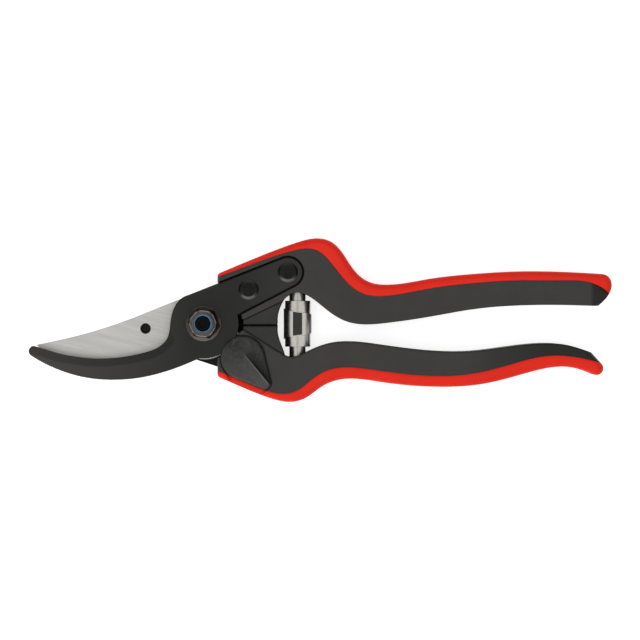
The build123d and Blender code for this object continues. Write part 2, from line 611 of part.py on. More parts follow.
# ---- Rivets and screws ----
def hook_rivets():
    rivets = []
    for place in HOOK_RIVETS:
        head = disc(place, RIVET_HEAD_RADIUS, HOOK_FRONT, HOOK_FRONT + RIVET_HEAD_HEIGHT)
        head = chamfer(head.edges().group_by(Axis.Z)[-1], RIVET_HEAD_BREAK)
        seat = RIVET_BACK_DEPTH - RIVET_WASHER_THICKNESS
        back = disc(place, RIVET_HEAD_RADIUS, seat - RIVET_BACK_HEAD_HEIGHT, seat)
        back = fillet(back.edges().group_by(Axis.Z)[0], RIVET_BACK_ROUNDING)
        rivets.append(head + disc(place, RIVET_RADIUS, seat, HOOK_FRONT) + back)
    return Compound(children=rivets)


def hook_rivet_washers():
    washers = [ring(place, RIVET_RADIUS + SEATED_GAP, RIVET_WASHER_RADIUS,
                    RIVET_BACK_DEPTH - RIVET_WASHER_THICKNESS, RIVET_BACK_DEPTH) for place in HOOK_RIVETS]
    return Compound(children=washers)


def blade_screws():
    screws = []
    for place in BLADE_SCREWS:
        head = disc(place, SCREW_HEAD_RADIUS, BLADE_BACK - SCREW_HEAD_HEIGHT, BLADE_BACK)
        head = fillet(head.edges().group_by(Axis.Z)[0], SCREW_HEAD_ROUNDING)
        shank = disc(place, SCREW_RADIUS, BLADE_BACK, BLADE_BACK + SCREW_LENGTH - SHEAR_GAP)
        low = BLADE_BACK - SCREW_HEAD_HEIGHT
        screws.append(head + shank - hexagon(place, SCREW_SOCKET_FLATS, low, BLADE_BACK - SCREW_HEAD_ROUNDING))
    return Compound(children=screws)


def blade_screw_inserts():
    inserts = [ring(place, SCREW_RADIUS + SEATED_GAP, SCREW_RADIUS + INSERT_WALL, TANG_FRONT,
                    BLADE_BACK + SCREW_LENGTH) for place in BLADE_SCREWS]
    return Compound(children=inserts)


# ---- Thumb catch ----
def catch_outline(grow, turn):
    """The catch's disc and tail in plan, grown by a gap and turned from released towards locked."""
    tail = polar(CATCH_TAIL_REACH, CATCH_TAIL_ANGLE - turn, CATCH_AXIS)
    circles = [Edge.make_circle(CATCH_RADIUS + grow).locate(Location((*CATCH_AXIS, 0))),
               Edge.make_circle(CATCH_TAIL_RADIUS + grow).locate(Location((*tail, 0)))]
    return make_hull(circles)


def catch_pocket():
    """The shallow recess in the lower handle's front in which the catch turns."""
    floor = HOOK_FRONT
    depth = THROUGH - floor
    pocket = Pos(0, 0, floor) * extrude(catch_outline(CATCH_POCKET_GAP, 0), amount=depth)
    pocket += Pos(0, 0, floor) * extrude(catch_outline(CATCH_POCKET_GAP, CATCH_TURN), amount=depth)
    reach = CATCH_TAIL_REACH + CATCH_TAIL_RADIUS + CATCH_POCKET_GAP
    return pocket + sector(CATCH_AXIS, reach, CATCH_TAIL_ANGLE - CATCH_TURN, CATCH_TAIL_ANGLE, floor, THROUGH)


def thumb_catch():
    plate = Pos(0, 0, CATCH_BACK) * extrude(catch_outline(0, 0), amount=CATCH_THICKNESS)
    plate = fillet(plate.edges().group_by(Axis.Z)[-1], CATCH_EDGE_ROUNDING)
    catch = plate + catch_ridge()
    catch += disc(CATCH_AXIS, CATCH_HUB_RADIUS, LOBE_BACK, CATCH_BACK)
    catch += sector(CATCH_AXIS, CATCH_LOBE_RADIUS, CATCH_LOBE_START, CATCH_LOBE_END, LOBE_BACK, CATCH_BACK)
    screw_end = CATCH_BACK + CATCH_SCREW_BITE + SEATED_GAP
    return catch - disc(CATCH_AXIS, CATCH_SCREW_RADIUS + SEATED_GAP, LOBE_BACK, screw_end)


def ridge_section(x, height):
    """Cut across the thumb ridge, with the tail along local +X."""
    base = CATCH_FRONT - CATCH_RIDGE_ROOT
    top = CATCH_FRONT + height
    feet = [(x, y, base) for y in CATCH_RIDGE_FOOT]
    crest = [(x, y, top) for y in CATCH_RIDGE_CREST]
    return make_face(Polyline(feet[0], *crest, feet[1], close=True))


def catch_ridge():
    """The thumb ridge: steep on one side, sloping off on the other, rising towards the tail."""
    start = ridge_section(0, CATCH_RIDGE_START_HEIGHT)
    end = ridge_section(CATCH_TAIL_REACH + CATCH_TAIL_RADIUS, CATCH_RIDGE_HEIGHT)
    bar = Pos(*CATCH_AXIS, 0) * Rot(0, 0, CATCH_TAIL_ANGLE) * loft([start, end])
    outline = extrude(catch_outline(-CATCH_RIDGE_MARGIN, 0), amount=THROUGH)
    return bar & (Pos(0, 0, LOBE_BACK) * outline)


def catch_screw():
    bottom = BLADE_BACK - CATCH_WASHER_THICKNESS - AXIAL_PLAY
    head = disc(CATCH_AXIS, CATCH_SCREW_HEAD_RADIUS, bottom - CATCH_SCREW_HEAD_HEIGHT, bottom)
    head = fillet(head.edges().group_by(Axis.Z)[0], SCREW_HEAD_ROUNDING)
    return head + disc(CATCH_AXIS, CATCH_SCREW_RADIUS, bottom, CATCH_BACK + CATCH_SCREW_BITE)


def catch_washer():
    return ring(CATCH_AXIS, CATCH_SCREW_RADIUS + RUNNING_GAP, CATCH_SCREW_HEAD_RADIUS,
                BLADE_BACK - CATCH_WASHER_THICKNESS, BLADE_BACK)


# ---- Volute spring ----
def spiral(radius, half_turns, step):
    """Tangent half circles that wind inwards, as edges from the outside in."""
    edges = []
    centre = 0.0
    for turn in range(half_turns):
        side = 1 if turn % 2 == 0 else -1
        a = (centre + side * radius, 0)
        b = (centre, side * radius)
        c = (centre - side * radius, 0)
        edges.append(ThreePointArc(a, b, c))
        centre -= side * step / 2
        radius -= step / 2
    return edges


def volute_spring():
    """A strip wound outside in, stepped in height, that forks into an upper and a lower coil."""
    halves = 1 + round(2 * (SPRING_OUTER_RADIUS - SPRING_INNER_RADIUS) / SPRING_PITCH)
    outer = spiral(SPRING_OUTER_RADIUS, halves, SPRING_PITCH)
    inner = spiral(SPRING_OUTER_RADIUS - SPRING_STRIP, halves, SPRING_PITCH)
    ends = [Line(outer[0] @ 0, inner[0] @ 0), Line(outer[-1] @ 1, inner[-1] @ 1)]
    strip = slab(outer + inner + ends, -SPRING_HALF_LENGTH, SPRING_HALF_LENGTH)
    spring = (strip & spring_profile(SPRING_STEPS)) - spring_profile(SPRING_HOLLOW)
    return Pos(SPRING_X, SPRING_CENTRE_Y, MID_LEVEL) * Rot(90, 0, 0) * spring


def spring_profile(steps):
    """A body of revolution from (share of the outer radius, share of the half length)."""
    upper = [(share * SPRING_OUTER_RADIUS, height * SPRING_HALF_LENGTH) for share, height in steps]
    lower = [(r, -z) for r, z in reversed(upper)]
    points = [(r, 0, z) for r, z in upper + lower]
    distinct = [p for i, p in enumerate(points) if i == 0 or p != points[i - 1]]
    return revolve(make_face(Polyline(*distinct, close=True)), Axis.Z)


NODES = {
    "hook_blade": hook_blade,
    "cutting_blade": cutting_blade,
    "upper_core": upper_core,
    "upper_grip": upper_grip,
    "lower_core": lower_core,
    "lower_grip": lower_grip,
    "upper_bumper": upper_bumper,
    "lower_bumper": lower_bumper,
    "pivot_bolt": pivot_bolt,
    "pivot_washer": pivot_washer,
    "pivot_bushing": pivot_bushing,
    "pivot_nut": pivot_nut,
    "nut_insert": nut_insert,
    "hook_rivets": hook_rivets,
    "hook_rivet_washers": hook_rivet_washers,
    "blade_screws": blade_screws,
    "blade_screw_inserts": blade_screw_inserts,
    "thumb_catch": thumb_catch,
    "catch_screw": catch_screw,
    "catch_washer": catch_washer,
    "volute_spring": volute_spring,
}


def main():
    os.makedirs("parts", exist_ok=True)
    for node, make in NODES.items():
        export_step(make(), f"parts/{node}.step")


main()
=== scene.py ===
import math

import bmesh
import bpy
from mathutils import Matrix, Vector


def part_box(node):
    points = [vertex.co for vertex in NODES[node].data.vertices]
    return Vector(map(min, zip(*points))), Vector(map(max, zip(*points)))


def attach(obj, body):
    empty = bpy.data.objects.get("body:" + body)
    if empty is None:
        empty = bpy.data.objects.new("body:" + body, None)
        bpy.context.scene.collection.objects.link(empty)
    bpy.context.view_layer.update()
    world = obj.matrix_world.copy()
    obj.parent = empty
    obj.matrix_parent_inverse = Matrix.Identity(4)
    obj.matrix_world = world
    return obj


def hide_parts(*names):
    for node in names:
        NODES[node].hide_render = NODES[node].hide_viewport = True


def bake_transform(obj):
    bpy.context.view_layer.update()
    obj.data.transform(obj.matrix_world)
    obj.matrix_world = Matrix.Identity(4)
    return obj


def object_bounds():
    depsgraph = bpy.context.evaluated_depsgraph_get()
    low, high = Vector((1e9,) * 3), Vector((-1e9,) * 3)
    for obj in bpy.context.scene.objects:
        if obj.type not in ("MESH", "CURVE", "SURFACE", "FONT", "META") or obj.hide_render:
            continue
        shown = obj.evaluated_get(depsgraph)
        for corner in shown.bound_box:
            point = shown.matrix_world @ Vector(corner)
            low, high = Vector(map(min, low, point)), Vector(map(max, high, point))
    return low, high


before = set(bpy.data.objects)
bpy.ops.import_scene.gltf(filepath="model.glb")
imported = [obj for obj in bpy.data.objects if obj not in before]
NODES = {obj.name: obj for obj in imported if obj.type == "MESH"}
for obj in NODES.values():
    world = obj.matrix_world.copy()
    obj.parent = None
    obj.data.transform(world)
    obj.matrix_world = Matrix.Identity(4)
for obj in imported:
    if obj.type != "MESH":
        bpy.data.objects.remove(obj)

bl_info = {
    "name": "Pruning Shears",
    "version": (1, 0, 0),
    "blender": (4, 5, 0),
    "location": "View3D > Sidebar > Shears",
    "description": "Finishes bypass pruning shears: handles, blades, pivot, catch and volute spring",
    "category": "Add Mesh",
}

# Everything is in metres. The shears lie on their back, blades to -X, and +Z is up.
CAD_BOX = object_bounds()
SPRING_LOW, SPRING_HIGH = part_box("volute_spring")
SPRING_CENTRE = (SPRING_LOW + SPRING_HIGH) / 2
SPRING_RADIUS = (SPRING_HIGH.z - SPRING_LOW.z) / 2
SPRING_HALF = (SPRING_HIGH.y - SPRING_LOW.y) / 2
FRONT_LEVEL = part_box("upper_core")[1].z
BLADE_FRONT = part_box("cutting_blade")[1].z
SEAM_Y = (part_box("upper_bumper")[0].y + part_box("lower_bumper")[1].y) / 2
RIDGE_START = (0.0160, -0.0118, 0.0)   # a point at the start of the catch's ridge
RIDGE_ALONG = (0.633, -0.774, 0.0)     # the way it runs, and the way square to it
RIDGE_ASIDE = (-RIDGE_ALONG[1], RIDGE_ALONG[0], 0.0)
HEXAGON_HALF = 0.0050                  # half the width of the pivot nut across its flats
HEXAGON_TURN = 22                      # degrees, the way one of its flats faces
HEXAGON_HEIGHT = 0.0019                # from its flange to its top
MIDDLE_SHARE = 0.5                     # the spring's widest turn follows both handles equally
SHADE_CORNER_OUTLINE = ((0.0138, -0.0022), (0.0156, -0.0022), (0.0138, -0.0039))
SHADE_CORNER_LEVELS = (0.0030, 0.0056)       # foot and top of a rubber corner by the lower bumper, black with painted shade, filling a chink that shows only shade

# Colours of painted shade and painted highlights on the bumpers, rivets, hook edges, blade edges and blade
# tang
BUMPER_SHADE_BLACK = (0.0009, 0.0009, 0.0008)
RIVET_CHAMFER_HIGHLIGHT = (0.16, 0.16, 0.145)
HOOK_EDGE_HIGHLIGHT = (0.075, 0.073, 0.068)
BLADE_EDGE_HIGHLIGHT = (0.9, 0.89, 0.87)
TANG_AND_HOLE_SHADE = (0.008, 0.008, 0.0075)

# Softboxes: name, place, side and power. The first is overhead, the second low beyond the blades' cutting
# side, and the third a weak one across from it.
LAMPS = (("top_softbox", (-0.15, -0.12, 1.15), 1.0, 5.0),
         ("side_softbox", (-0.85, -0.70, 0.50), 0.5, 4.6),
         ("weak_softbox", (0.80, 0.45, 0.75), 0.5, 0.4))
FILL_LIGHT = 0.36
FLOOR_GLOW = 0.70                      # what the floor adds where it is seen directly, to come out white
FLOOR_GAP = 0.0002
WHITE = (1.0, 1.0, 1.0, 1.0)

# What metal mirrors: a card over the camera, and walls with their direction and half-width in degrees, their
# foot and their top
CARD_SIDE = 0.24
END_WALLS = ((0, 48, 0.0, 0.30), (180, 48, 0.0, 0.34))
FAR_SHADE = ((90, 76, 0.50, 2.3),)
SHADE_GLOW = 0.32


# ---- Sizes and colours that a user would change ----
def colour(name, description, default):
    return bpy.props.FloatVectorProperty(
        name=name, description=description, default=default, size=3, min=0.0, max=1.0, subtype="COLOR"
    )


def length(name, description, default):
    return bpy.props.FloatProperty(
        name=name, description=description, default=default, min=0.0, precision=5, unit="LENGTH"
    )


def fraction(name, description, default):
    return bpy.props.FloatProperty(
        name=name, description=description, default=default, min=0.0, max=0.95, subtype="FACTOR"
    )


class SpringSizes(bpy.types.PropertyGroup):
    strip: length("Strip", "Thickness of the spring's strip", 0.00045)
    middle_radius: length("Middle radius", "Outer radius of the widest turn", SPRING_RADIUS)
    middle_height: length("Middle height", "Half height of the widest turn on its tall side", 0.00588)
    middle_taper: length("Middle taper", "Half height of the widest turn on its low side", 0.00356)
    second_radius: length("Second radius", "Outer radius of the turns above and below the widest", 0.00495)
    second_height: length("Second height", "Distance from the middle to the end of those turns", 0.0089)
    end_radius: length("End radius", "Outer radius of the end coils", 0.0033)
    flat_width: length("Flat", "Width of the flat on the front of the widest turn", 0.0040)


class RivetSizes(bpy.types.PropertyGroup):
    head_radius: length("Head radius", "Radius of the rivet heads", 0.0039)
    front_crown: fraction("Front crown", "Share of the front head's radius that stays flat", 0.70)
    back_crown: fraction("Back crown", "Share of the back head's radius that stays flat", 0.30)


class BladeSizes(bpy.types.PropertyGroup):
    # Outside these the blade is black with painted shade.
    ground_radius: length("Ground radius", "How far from the pivot the blade is ground bright", 0.0139)
    ground_start: length("Ground start", "The blade is bright everywhere to the tip's side of this", 0.0)


class FinishColours(bpy.types.PropertyGroup):
    grip: colour("Grip", "Soft overmould on the outside of both handles", (0.97, 0.0235, 0.0100))
    core: colour("Core", "Grey coat of both handles' cores", (0.0385, 0.0374, 0.0340))
    hook: colour("Hook blade", "Sliding coat on the hook blade and its tang", (0.0102, 0.0107, 0.0080))
    # Painted sheen: the hook's coat paler out along the hook.
    hook_sheen: colour("Hook tip", "The coat where it is worn paler, out along the hook", (0.055, 0.052, 0.049))
    rivet: colour("Rivets", "Blackened rivets of the hook and their washers", (0.0055, 0.0060, 0.0045))
    blade: colour("Cutting blade", "Ground steel of the cutting blade", (0.66, 0.645, 0.62))
    bumper: colour("Bumpers", "Rubber of the two stops", (0.036, 0.037, 0.034))
    catch: colour("Catch", "Moulded plastic of the thumb catch", (0.036, 0.036, 0.034))
    nut: colour("Nut", "Burnished steel of the nut and its washer; the bolt is darker", (0.155, 0.138, 0.127))
    insert: colour("Insert", "Nylon ring in the nut", (0.03, 0.20, 0.42))
    spring: colour("Spring", "Bright strip of the spring", (0.60, 0.575, 0.53))
    bushing: colour("Bushing", "Bronze of the bushing and the threaded inserts", (0.52, 0.34, 0.14))


class StageSizes(bpy.types.PropertyGroup):
    camera_height: length("Camera height", "Height of the camera over the front of the handles", 0.78)
    field: length("Field", "Width that the camera sees at the front of the handles", 0.2465)
    centre_x: length("Centre X", "Where the camera looks, along the shears", 0.0449)
    centre_y: length("Centre Y", "Where the camera looks, across the shears", 0.00143)
    floor: length("Floor", "Side of the floor", 12.0)


# ---- Node trees ----
def new_group(kind, name, inputs, outputs):
    """A node group with its named sockets, its input node and its output node."""
    group = bpy.data.node_groups.new(name, kind)
    for label, socket_type, default in inputs:
        socket = group.interface.new_socket(label, in_out="INPUT", socket_type=socket_type)
        if default is not None:
            socket.default_value = default
    for label, socket_type in outputs:
        group.interface.new_socket(label, in_out="OUTPUT", socket_type=socket_type)
    return group, group.nodes.new("NodeGroupInput"), group.nodes.new("NodeGroupOutput")


def put(tree, kind, settings=None, **inputs):
    """A node with its settings and its input values or links.

    An input is named with underscores for spaces, or by its number: i0, i1 and so on.
    """
    made = tree.nodes.new(kind)
    for key, value in (settings or {}).items():
        setattr(made, key, value)
    for key, value in inputs.items():
        numbered = key[0] == "i" and key[1:].isdigit()
        socket = made.inputs[int(key[1:]) if numbered else key.replace("_", " ")]
        if isinstance(value, bpy.types.NodeSocket):
            tree.links.new(value, socket)
        else:
            socket.default_value = value
    return made


def maths(tree, operation, *values):
    inputs = {f"i{index}": value for index, value in enumerate(values)}
    return put(tree, "ShaderNodeMath", {"operation": operation}, **inputs).outputs[0]


def product(tree, first, *others):
    for value in others:
        first = maths(tree, "MULTIPLY", first, value)
    return first


def ramp(tree, value, start, end, low=0.0, high=1.0):
    """Goes from low at start to high at end, and stays level outside them."""
    return put(tree, "ShaderNodeMapRange", i0=value, i1=start, i2=end, i3=low, i4=high).outputs[0]


def noise(tree, place, scale, **inputs):
    return put(tree, "ShaderNodeTexNoise", Vector=place, Scale=scale, **inputs).outputs["Fac"]


def axes(tree, vector):
    """A vector's three parts, by name."""
    return put(tree, "ShaderNodeSeparateXYZ", Vector=vector).outputs


def facing(tree, kind="Normal"):
    """The three parts of the way a surface faces."""
    return axes(tree, tree.nodes.new("ShaderNodeNewGeometry").outputs[kind])


def towards(tree, vector, direction):
    """How far a vector reaches in a direction."""
    made = put(tree, "ShaderNodeVectorMath", {"operation": "DOT_PRODUCT"}, i0=vector, i1=direction)
    return made.outputs["Value"]


# ---- Shader groups ----
def build_grain():
    """Fine leathery grain of moulded or coated surfaces."""
    group, given, result = new_group(
        "ShaderNodeTree", "Grain",
        [("Vector", "NodeSocketVector", None), ("Scale", "NodeSocketFloat", 3000.0),
         ("Softness", "NodeSocketFloat", 0.5)],
        [("Height", "NodeSocketFloat"), ("Shade", "NodeSocketFloat")],
    )
    place, scale = given.outputs["Vector"], given.outputs["Scale"]
    cells = put(group, "ShaderNodeTexVoronoi", {"feature": "SMOOTH_F1"}, Vector=place, Scale=scale,
                Smoothness=given.outputs["Softness"])
    fine = noise(group, place, product(group, scale, 0.8), Detail=2.0)
    broad = noise(group, place, product(group, scale, 0.02), Detail=3.0)
    height = maths(group, "ADD", product(group, cells.outputs["Distance"], 0.6), product(group, fine, 0.4))
    group.links.new(height, result.inputs["Height"])
    group.links.new(broad, result.inputs["Shade"])
    return group


def build_strokes():
    """Long scratches left by a grinding belt."""
    group, given, result = new_group(
        "ShaderNodeTree", "Grinding Strokes",
        [("Vector", "NodeSocketVector", None), ("Turn", "NodeSocketVector", (0.0, 0.0, 0.0)),
         ("Length", "NodeSocketFloat", 60.0), ("Fineness", "NodeSocketFloat", 3000.0)],
        [("Height", "NodeSocketFloat"), ("Shade", "NodeSocketFloat")],
    )
    turned = put(group, "ShaderNodeMapping", Vector=given.outputs["Vector"], Rotation=given.outputs["Turn"])
    parts = axes(group, turned.outputs[0])
    long, fine = given.outputs["Length"], given.outputs["Fineness"]
    place = put(group, "ShaderNodeCombineXYZ", X=product(group, parts["X"], long),
                Y=product(group, parts["Y"], fine), Z=product(group, parts["Z"], fine)).outputs[0]
    wide = put(group, "ShaderNodeVectorMath", {"operation": "MULTIPLY"}, i0=place, i1=(0.7, 0.16, 0.16))
    scratches = noise(group, place, 1.0, Detail=3.0, Roughness=0.65)
    streaks = noise(group, wide.outputs[0], 1.0, Detail=4.0, Roughness=0.6)
    shade = maths(group, "ADD", product(group, scratches, 0.45), product(group, streaks, 0.55))
    group.links.new(scratches, result.inputs["Height"])
    group.links.new(shade, result.inputs["Shade"])
    return group


def build_edges():
    """A mask of the sharp edges, broken up by noise, and the normal that rounds them."""
    group, given, result = new_group(
        "ShaderNodeTree", "Worn Edges",
        [("Vector", "NodeSocketVector", None), ("Width", "NodeSocketFloat", 0.0003),
         ("Break Up", "NodeSocketFloat", 0.5)],
        [("Mask", "NodeSocketFloat"), ("Normal", "NodeSocketVector")],
    )
    rounded = put(group, "ShaderNodeBevel", {"samples": 6}, Radius=given.outputs["Width"]).outputs[0]
    true = group.nodes.new("ShaderNodeNewGeometry").outputs["Normal"]
    bent = product(group, maths(group, "SUBTRACT", 1.0, towards(group, rounded, true)), 6.0)
    patches = noise(group, given.outputs["Vector"], 900.0, Detail=3.0)
    kept = maths(group, "SUBTRACT", 1.0, product(group, patches, given.outputs["Break Up"]))
    mask = put(group, "ShaderNodeClamp", Value=product(group, bent, kept))
    group.links.new(mask.outputs[0], result.inputs["Mask"])
    group.links.new(rounded, result.inputs["Normal"])
    return group


def build_handling():
    """Faint smudges that change how sharply a surface reflects."""
    group, given, result = new_group(
        "ShaderNodeTree", "Handling",
        [("Vector", "NodeSocketVector", None), ("Scale", "NodeSocketFloat", 120.0),
         ("Low", "NodeSocketFloat", 0.4), ("High", "NodeSocketFloat", 0.5)],
        [("Roughness", "NodeSocketFloat")],
    )
    broad = noise(group, given.outputs["Vector"], given.outputs["Scale"], Detail=5.0, Roughness=0.6,
                  Distortion=0.4)
    level = ramp(group, broad, 0.3, 0.7, given.outputs["Low"], given.outputs["High"])
    group.links.new(level, result.inputs["Roughness"])
    return group


BUILDERS = {"Grain": build_grain, "Grinding Strokes": build_strokes, "Worn Edges": build_edges,
            "Handling": build_handling}


def effect(tree, name, **inputs):
    """What one of the shared groups puts out, placed in a material with its own values."""
    group = bpy.data.node_groups.get(name) or BUILDERS[name]()
    return put(tree, "ShaderNodeGroup", {"node_tree": group}, **inputs).outputs


# ---- Parts that the finishes share ----
def start_material(name, metallic=0.0, **sockets):
    """A material with its shader's plain values set, and the piece's own coordinates."""
    material = bpy.data.materials.new(name)
    material.use_nodes = True
    tree = material.node_tree
    shader = tree.nodes["Principled BSDF"]
    shader.inputs["Metallic"].default_value = metallic
    for key, value in sockets.items():
        shader.inputs[key.replace("_", " ")].default_value = value
    place = tree.nodes.new("ShaderNodeTexCoord").outputs["Object"]
    return material, tree, shader, place


def grain_edges_smudges(tree, place, grain, edge, break_up, smooth, rough, smudge=120.0):
    """Grain, the sharp-edge mask and smudges of one surface: what their groups put out."""
    return (effect(tree, "Grain", Vector=place, Scale=grain),
            effect(tree, "Worn Edges", Vector=place, Width=edge, Break_Up=break_up),
            effect(tree, "Handling", Vector=place, Scale=smudge, Low=smooth, High=rough)["Roughness"])


def blend_colours(tree, factor, first, second):
    mixed = put(tree, "ShaderNodeMix", {"data_type": "RGBA"}, i0=factor)
    for socket, value in ((mixed.inputs[6], first), (mixed.inputs[7], second)):
        if isinstance(value, bpy.types.NodeSocket):
            tree.links.new(value, socket)
        else:
            socket.default_value = (*value, 1.0)
    return mixed.outputs[2]


def chosen(name):
    """A colour from the user's settings."""
    return tuple(getattr(bpy.context.scene.shears_colours, name))


def scaled(base, factor):
    return tuple(min(1.0, part * factor) for part in base)


def mottled(tree, shade, base, darker, paler):
    """A colour that varies between a darker and a paler share of itself."""
    return blend_colours(tree, shade, scaled(base, darker), scaled(base, paler))


def toned(tree, edges, share, body, tone):
    """Paints a highlight or shade along sharp edges: the colour goes over to another by a share."""
    return blend_colours(tree, product(tree, edges["Mask"], share), body, tone)


def dress(tree, shader, body, rough, height, depth, normal=None, strength=1.0):
    """Joins a finish to its shader: its colour, its sheen and its relief."""
    tree.links.new(body, shader.inputs["Base Color"])
    tree.links.new(rough, shader.inputs["Roughness"])
    relief = put(tree, "ShaderNodeBump", Height=height, Distance=depth, Strength=strength)
    if normal is not None:
        tree.links.new(normal, relief.inputs["Normal"])
    tree.links.new(relief.outputs[0], shader.inputs["Normal"])


# ---- Finishes ----
def coated_finish(name, base, rough, grain_scale, grain_depth, edge_width, edge_lift, specular,
                  edge_tone=4.0):
    """Surface of a coat or a moulding: fine grain, smudged sheen, and sharp edges going over to edge_tone of
    the colour, a painted highlight where that is paler.
    """
    material, tree, shader, place = start_material(name, Specular_IOR_Level=specular)
    grain, edges, marks = grain_edges_smudges(tree, place, grain_scale, edge_width, 0.5, rough - 0.05, rough + 0.06)
    body = mottled(tree, grain["Shade"], base, 0.82, 1.18)
    # Sharp edges go over to edge_tone of the colour: a painted highlight where that is paler.
    body = toned(tree, edges, edge_lift, body, scaled(base, edge_tone))
    dress(tree, shader, body, marks, grain["Height"], grain_depth, edges["Normal"])
    return material


def core_coat(name, fade, share):
    """Grey coat of a handle, with painted shade that darkens it towards the end of the grip and along its
    sharp edges.
    """
    base = chosen("core")
    material, tree, shader, place = start_material(name, Specular_IOR_Level=0.28)
    grain, edges, marks = grain_edges_smudges(tree, place, 5200.0, 0.0004, 0.4, 0.42, 0.54)
    # Painted shade: darker towards the end of the grip, between the two X of fade, down to share of the
    # colour.
    held = ramp(tree, axes(tree, place)["X"], *fade)
    body = blend_colours(tree, held, mottled(tree, grain["Shade"], base, 0.84, 1.16), scaled(base, share))
    # Painted shade along the sharp edges.
    body = toned(tree, edges, 0.7, body, scaled(base, 0.3))
    dress(tree, shader, body, marks, grain["Height"], 0.00002, edges["Normal"])
    return material


def bumper_rubber():
    """Matt rubber of the stops, with painted shade, black, along the seam, on the low lips beside the pivot
    and along the sharp edges.
    """
    base = chosen("bumper")
    material, tree, shader, place = start_material("bumper_rubber", Specular_IOR_Level=0.20)
    grain, edges, marks = grain_edges_smudges(tree, place, 4200.0, 0.0007, 0.2, 0.56, 0.68)
    spot = axes(tree, place)
    # Painted shade: black along the seam, on the lips below the front and along the sharp edges.
    off_seam = maths(tree, "ABSOLUTE", maths(tree, "SUBTRACT", spot["Y"], SEAM_Y))
    seam = ramp(tree, off_seam, 0.00022, 0.00050, 1.0, 0.0)
    low = maths(tree, "LESS_THAN", spot["Z"], FRONT_LEVEL - 0.001)
    bumper_shade = maths(tree, "MAXIMUM", maths(tree, "MAXIMUM", seam, low), edges["Mask"])
    body = blend_colours(tree, bumper_shade, mottled(tree, grain["Shade"], base, 0.84, 1.16), BUMPER_SHADE_BLACK)
    dress(tree, shader, body, marks, grain["Height"], 0.00004, edges["Normal"])
    return material


def rivet_finish():
    """Blackened rivet with a painted highlight on its chamfer where it faces -Y or +Y, most at -Y."""
    base = chosen("rivet")
    material, tree, shader, place = start_material("blackened_rivet", Specular_IOR_Level=0.22)
    grain, edges, marks = grain_edges_smudges(tree, place, 5200.0, 0.0003, 0.3, 0.22, 0.34, smudge=380.0)
    lean = facing(tree)
    # Painted highlight on the chamfer, where it faces -Y or +Y.
    across = maths(tree, "SUBTRACT", product(tree, maths(tree, "ABSOLUTE", lean["Y"]), 1.4),
                   product(tree, lean["Y"], 0.4))
    painted_sheen = product(tree, ramp(tree, lean["Z"], 0.985, 0.86), maths(tree, "POWER", across, 3.0))
    painted_sheen = put(tree, "ShaderNodeClamp", Value=painted_sheen).outputs[0]
    body = blend_colours(tree, painted_sheen, mottled(tree, grain["Shade"], base, 0.8, 1.2), RIVET_CHAMFER_HIGHLIGHT)
    dress(tree, shader, body, marks, grain["Height"], 0.000006, edges["Normal"])
    return material


def hook_coat():
    """Satin black sliding coat, with a painted sheen that makes it paler out to the hook's tip and a little
    towards the tang, and painted highlights along its sharp edges.
    """
    near, far = chosen("hook"), chosen("hook_sheen")
    material, tree, shader, place = start_material("sliding_coat", Specular_IOR_Level=0.28)
    grain, edges, marks = grain_edges_smudges(tree, place, 4600.0, 0.00022, 0.6, 0.36, 0.50)
    along = axes(tree, place)["X"]
    # Painted sheen: paler out towards the tip and a little towards the tang.
    sheen_to_tip = ramp(tree, along, -0.004, -0.062)
    sheen_to_tang = ramp(tree, along, 0.012, 0.034, 0.0, 0.32)
    body = blend_colours(tree, maths(tree, "MAXIMUM", sheen_to_tip, sheen_to_tang), near, far)
    body = blend_colours(tree, product(tree, grain["Shade"], 0.3), body, scaled(near, 2.2))
    # Painted highlights along the sharp edges.
    body = toned(tree, edges, 0.5, body, HOOK_EDGE_HIGHLIGHT)
    dress(tree, shader, body, marks, grain["Height"], 0.000016, edges["Normal"])
    return material


def catch_finish():
    """Grained plastic of the catch: mottled, with painted light that makes it paler towards -Y, painted
    highlights along its edges and crest, and painted shade behind its ridge.
    """
    base = chosen("catch")
    material, tree, shader, place = start_material("catch_plastic", Specular_IOR_Level=0.20)
    grain, edges, marks = grain_edges_smudges(tree, place, 2600.0, 0.0005, 0.3, 0.40, 0.62, smudge=300.0)
    mottle = noise(tree, place, 300.0, Detail=5.0, Roughness=0.7, Distortion=0.8)
    body = mottled(tree, ramp(tree, mottle, 0.0, 1.0, -0.9, 1.9), base, 0.35, 1.55)
    # Painted light: paler towards the outer edge at -Y.
    outer = ramp(tree, axes(tree, place)["Y"], -0.008, -0.022, 0.0, 0.55)
    body = blend_colours(tree, outer, body, scaled(base, 2.6))
    # Painted highlights along the sharp edges.
    body = toned(tree, edges, 0.55, body, scaled(base, 3.0))
    # Painted shade lies behind the ridge, more of it towards the ridge's far end. A painted highlight runs
    # along the crest.
    start = put(tree, "ShaderNodeVectorMath", {"operation": "SUBTRACT"}, i0=place, i1=RIDGE_START).outputs[0]
    along, aside = towards(tree, start, RIDGE_ALONG), towards(tree, start, RIDGE_ASIDE)
    deeper, beside = ramp(tree, along, -0.002, 0.005), ramp(tree, aside, 0.0, 0.0045, 1.0, 0.35)
    ridge_shade = product(tree, deeper, beside, maths(tree, "GREATER_THAN", aside, 0.0001), 0.95)
    body = blend_colours(tree, ridge_shade, body, scaled(base, 0.05))
    off_crest = maths(tree, "ABSOLUTE", maths(tree, "ADD", aside, 0.00022))
    crest = ramp(tree, off_crest, 0.00008, 0.00032, 0.7, 0.0)
    crest_highlight = product(tree, crest, maths(tree, "GREATER_THAN", along, 0.0))
    body = blend_colours(tree, crest_highlight, body, scaled(base, 4.0))
    height = maths(tree, "ADD", grain["Height"], mottle)
    dress(tree, shader, body, marks, height, 0.00012, edges["Normal"])
    return material


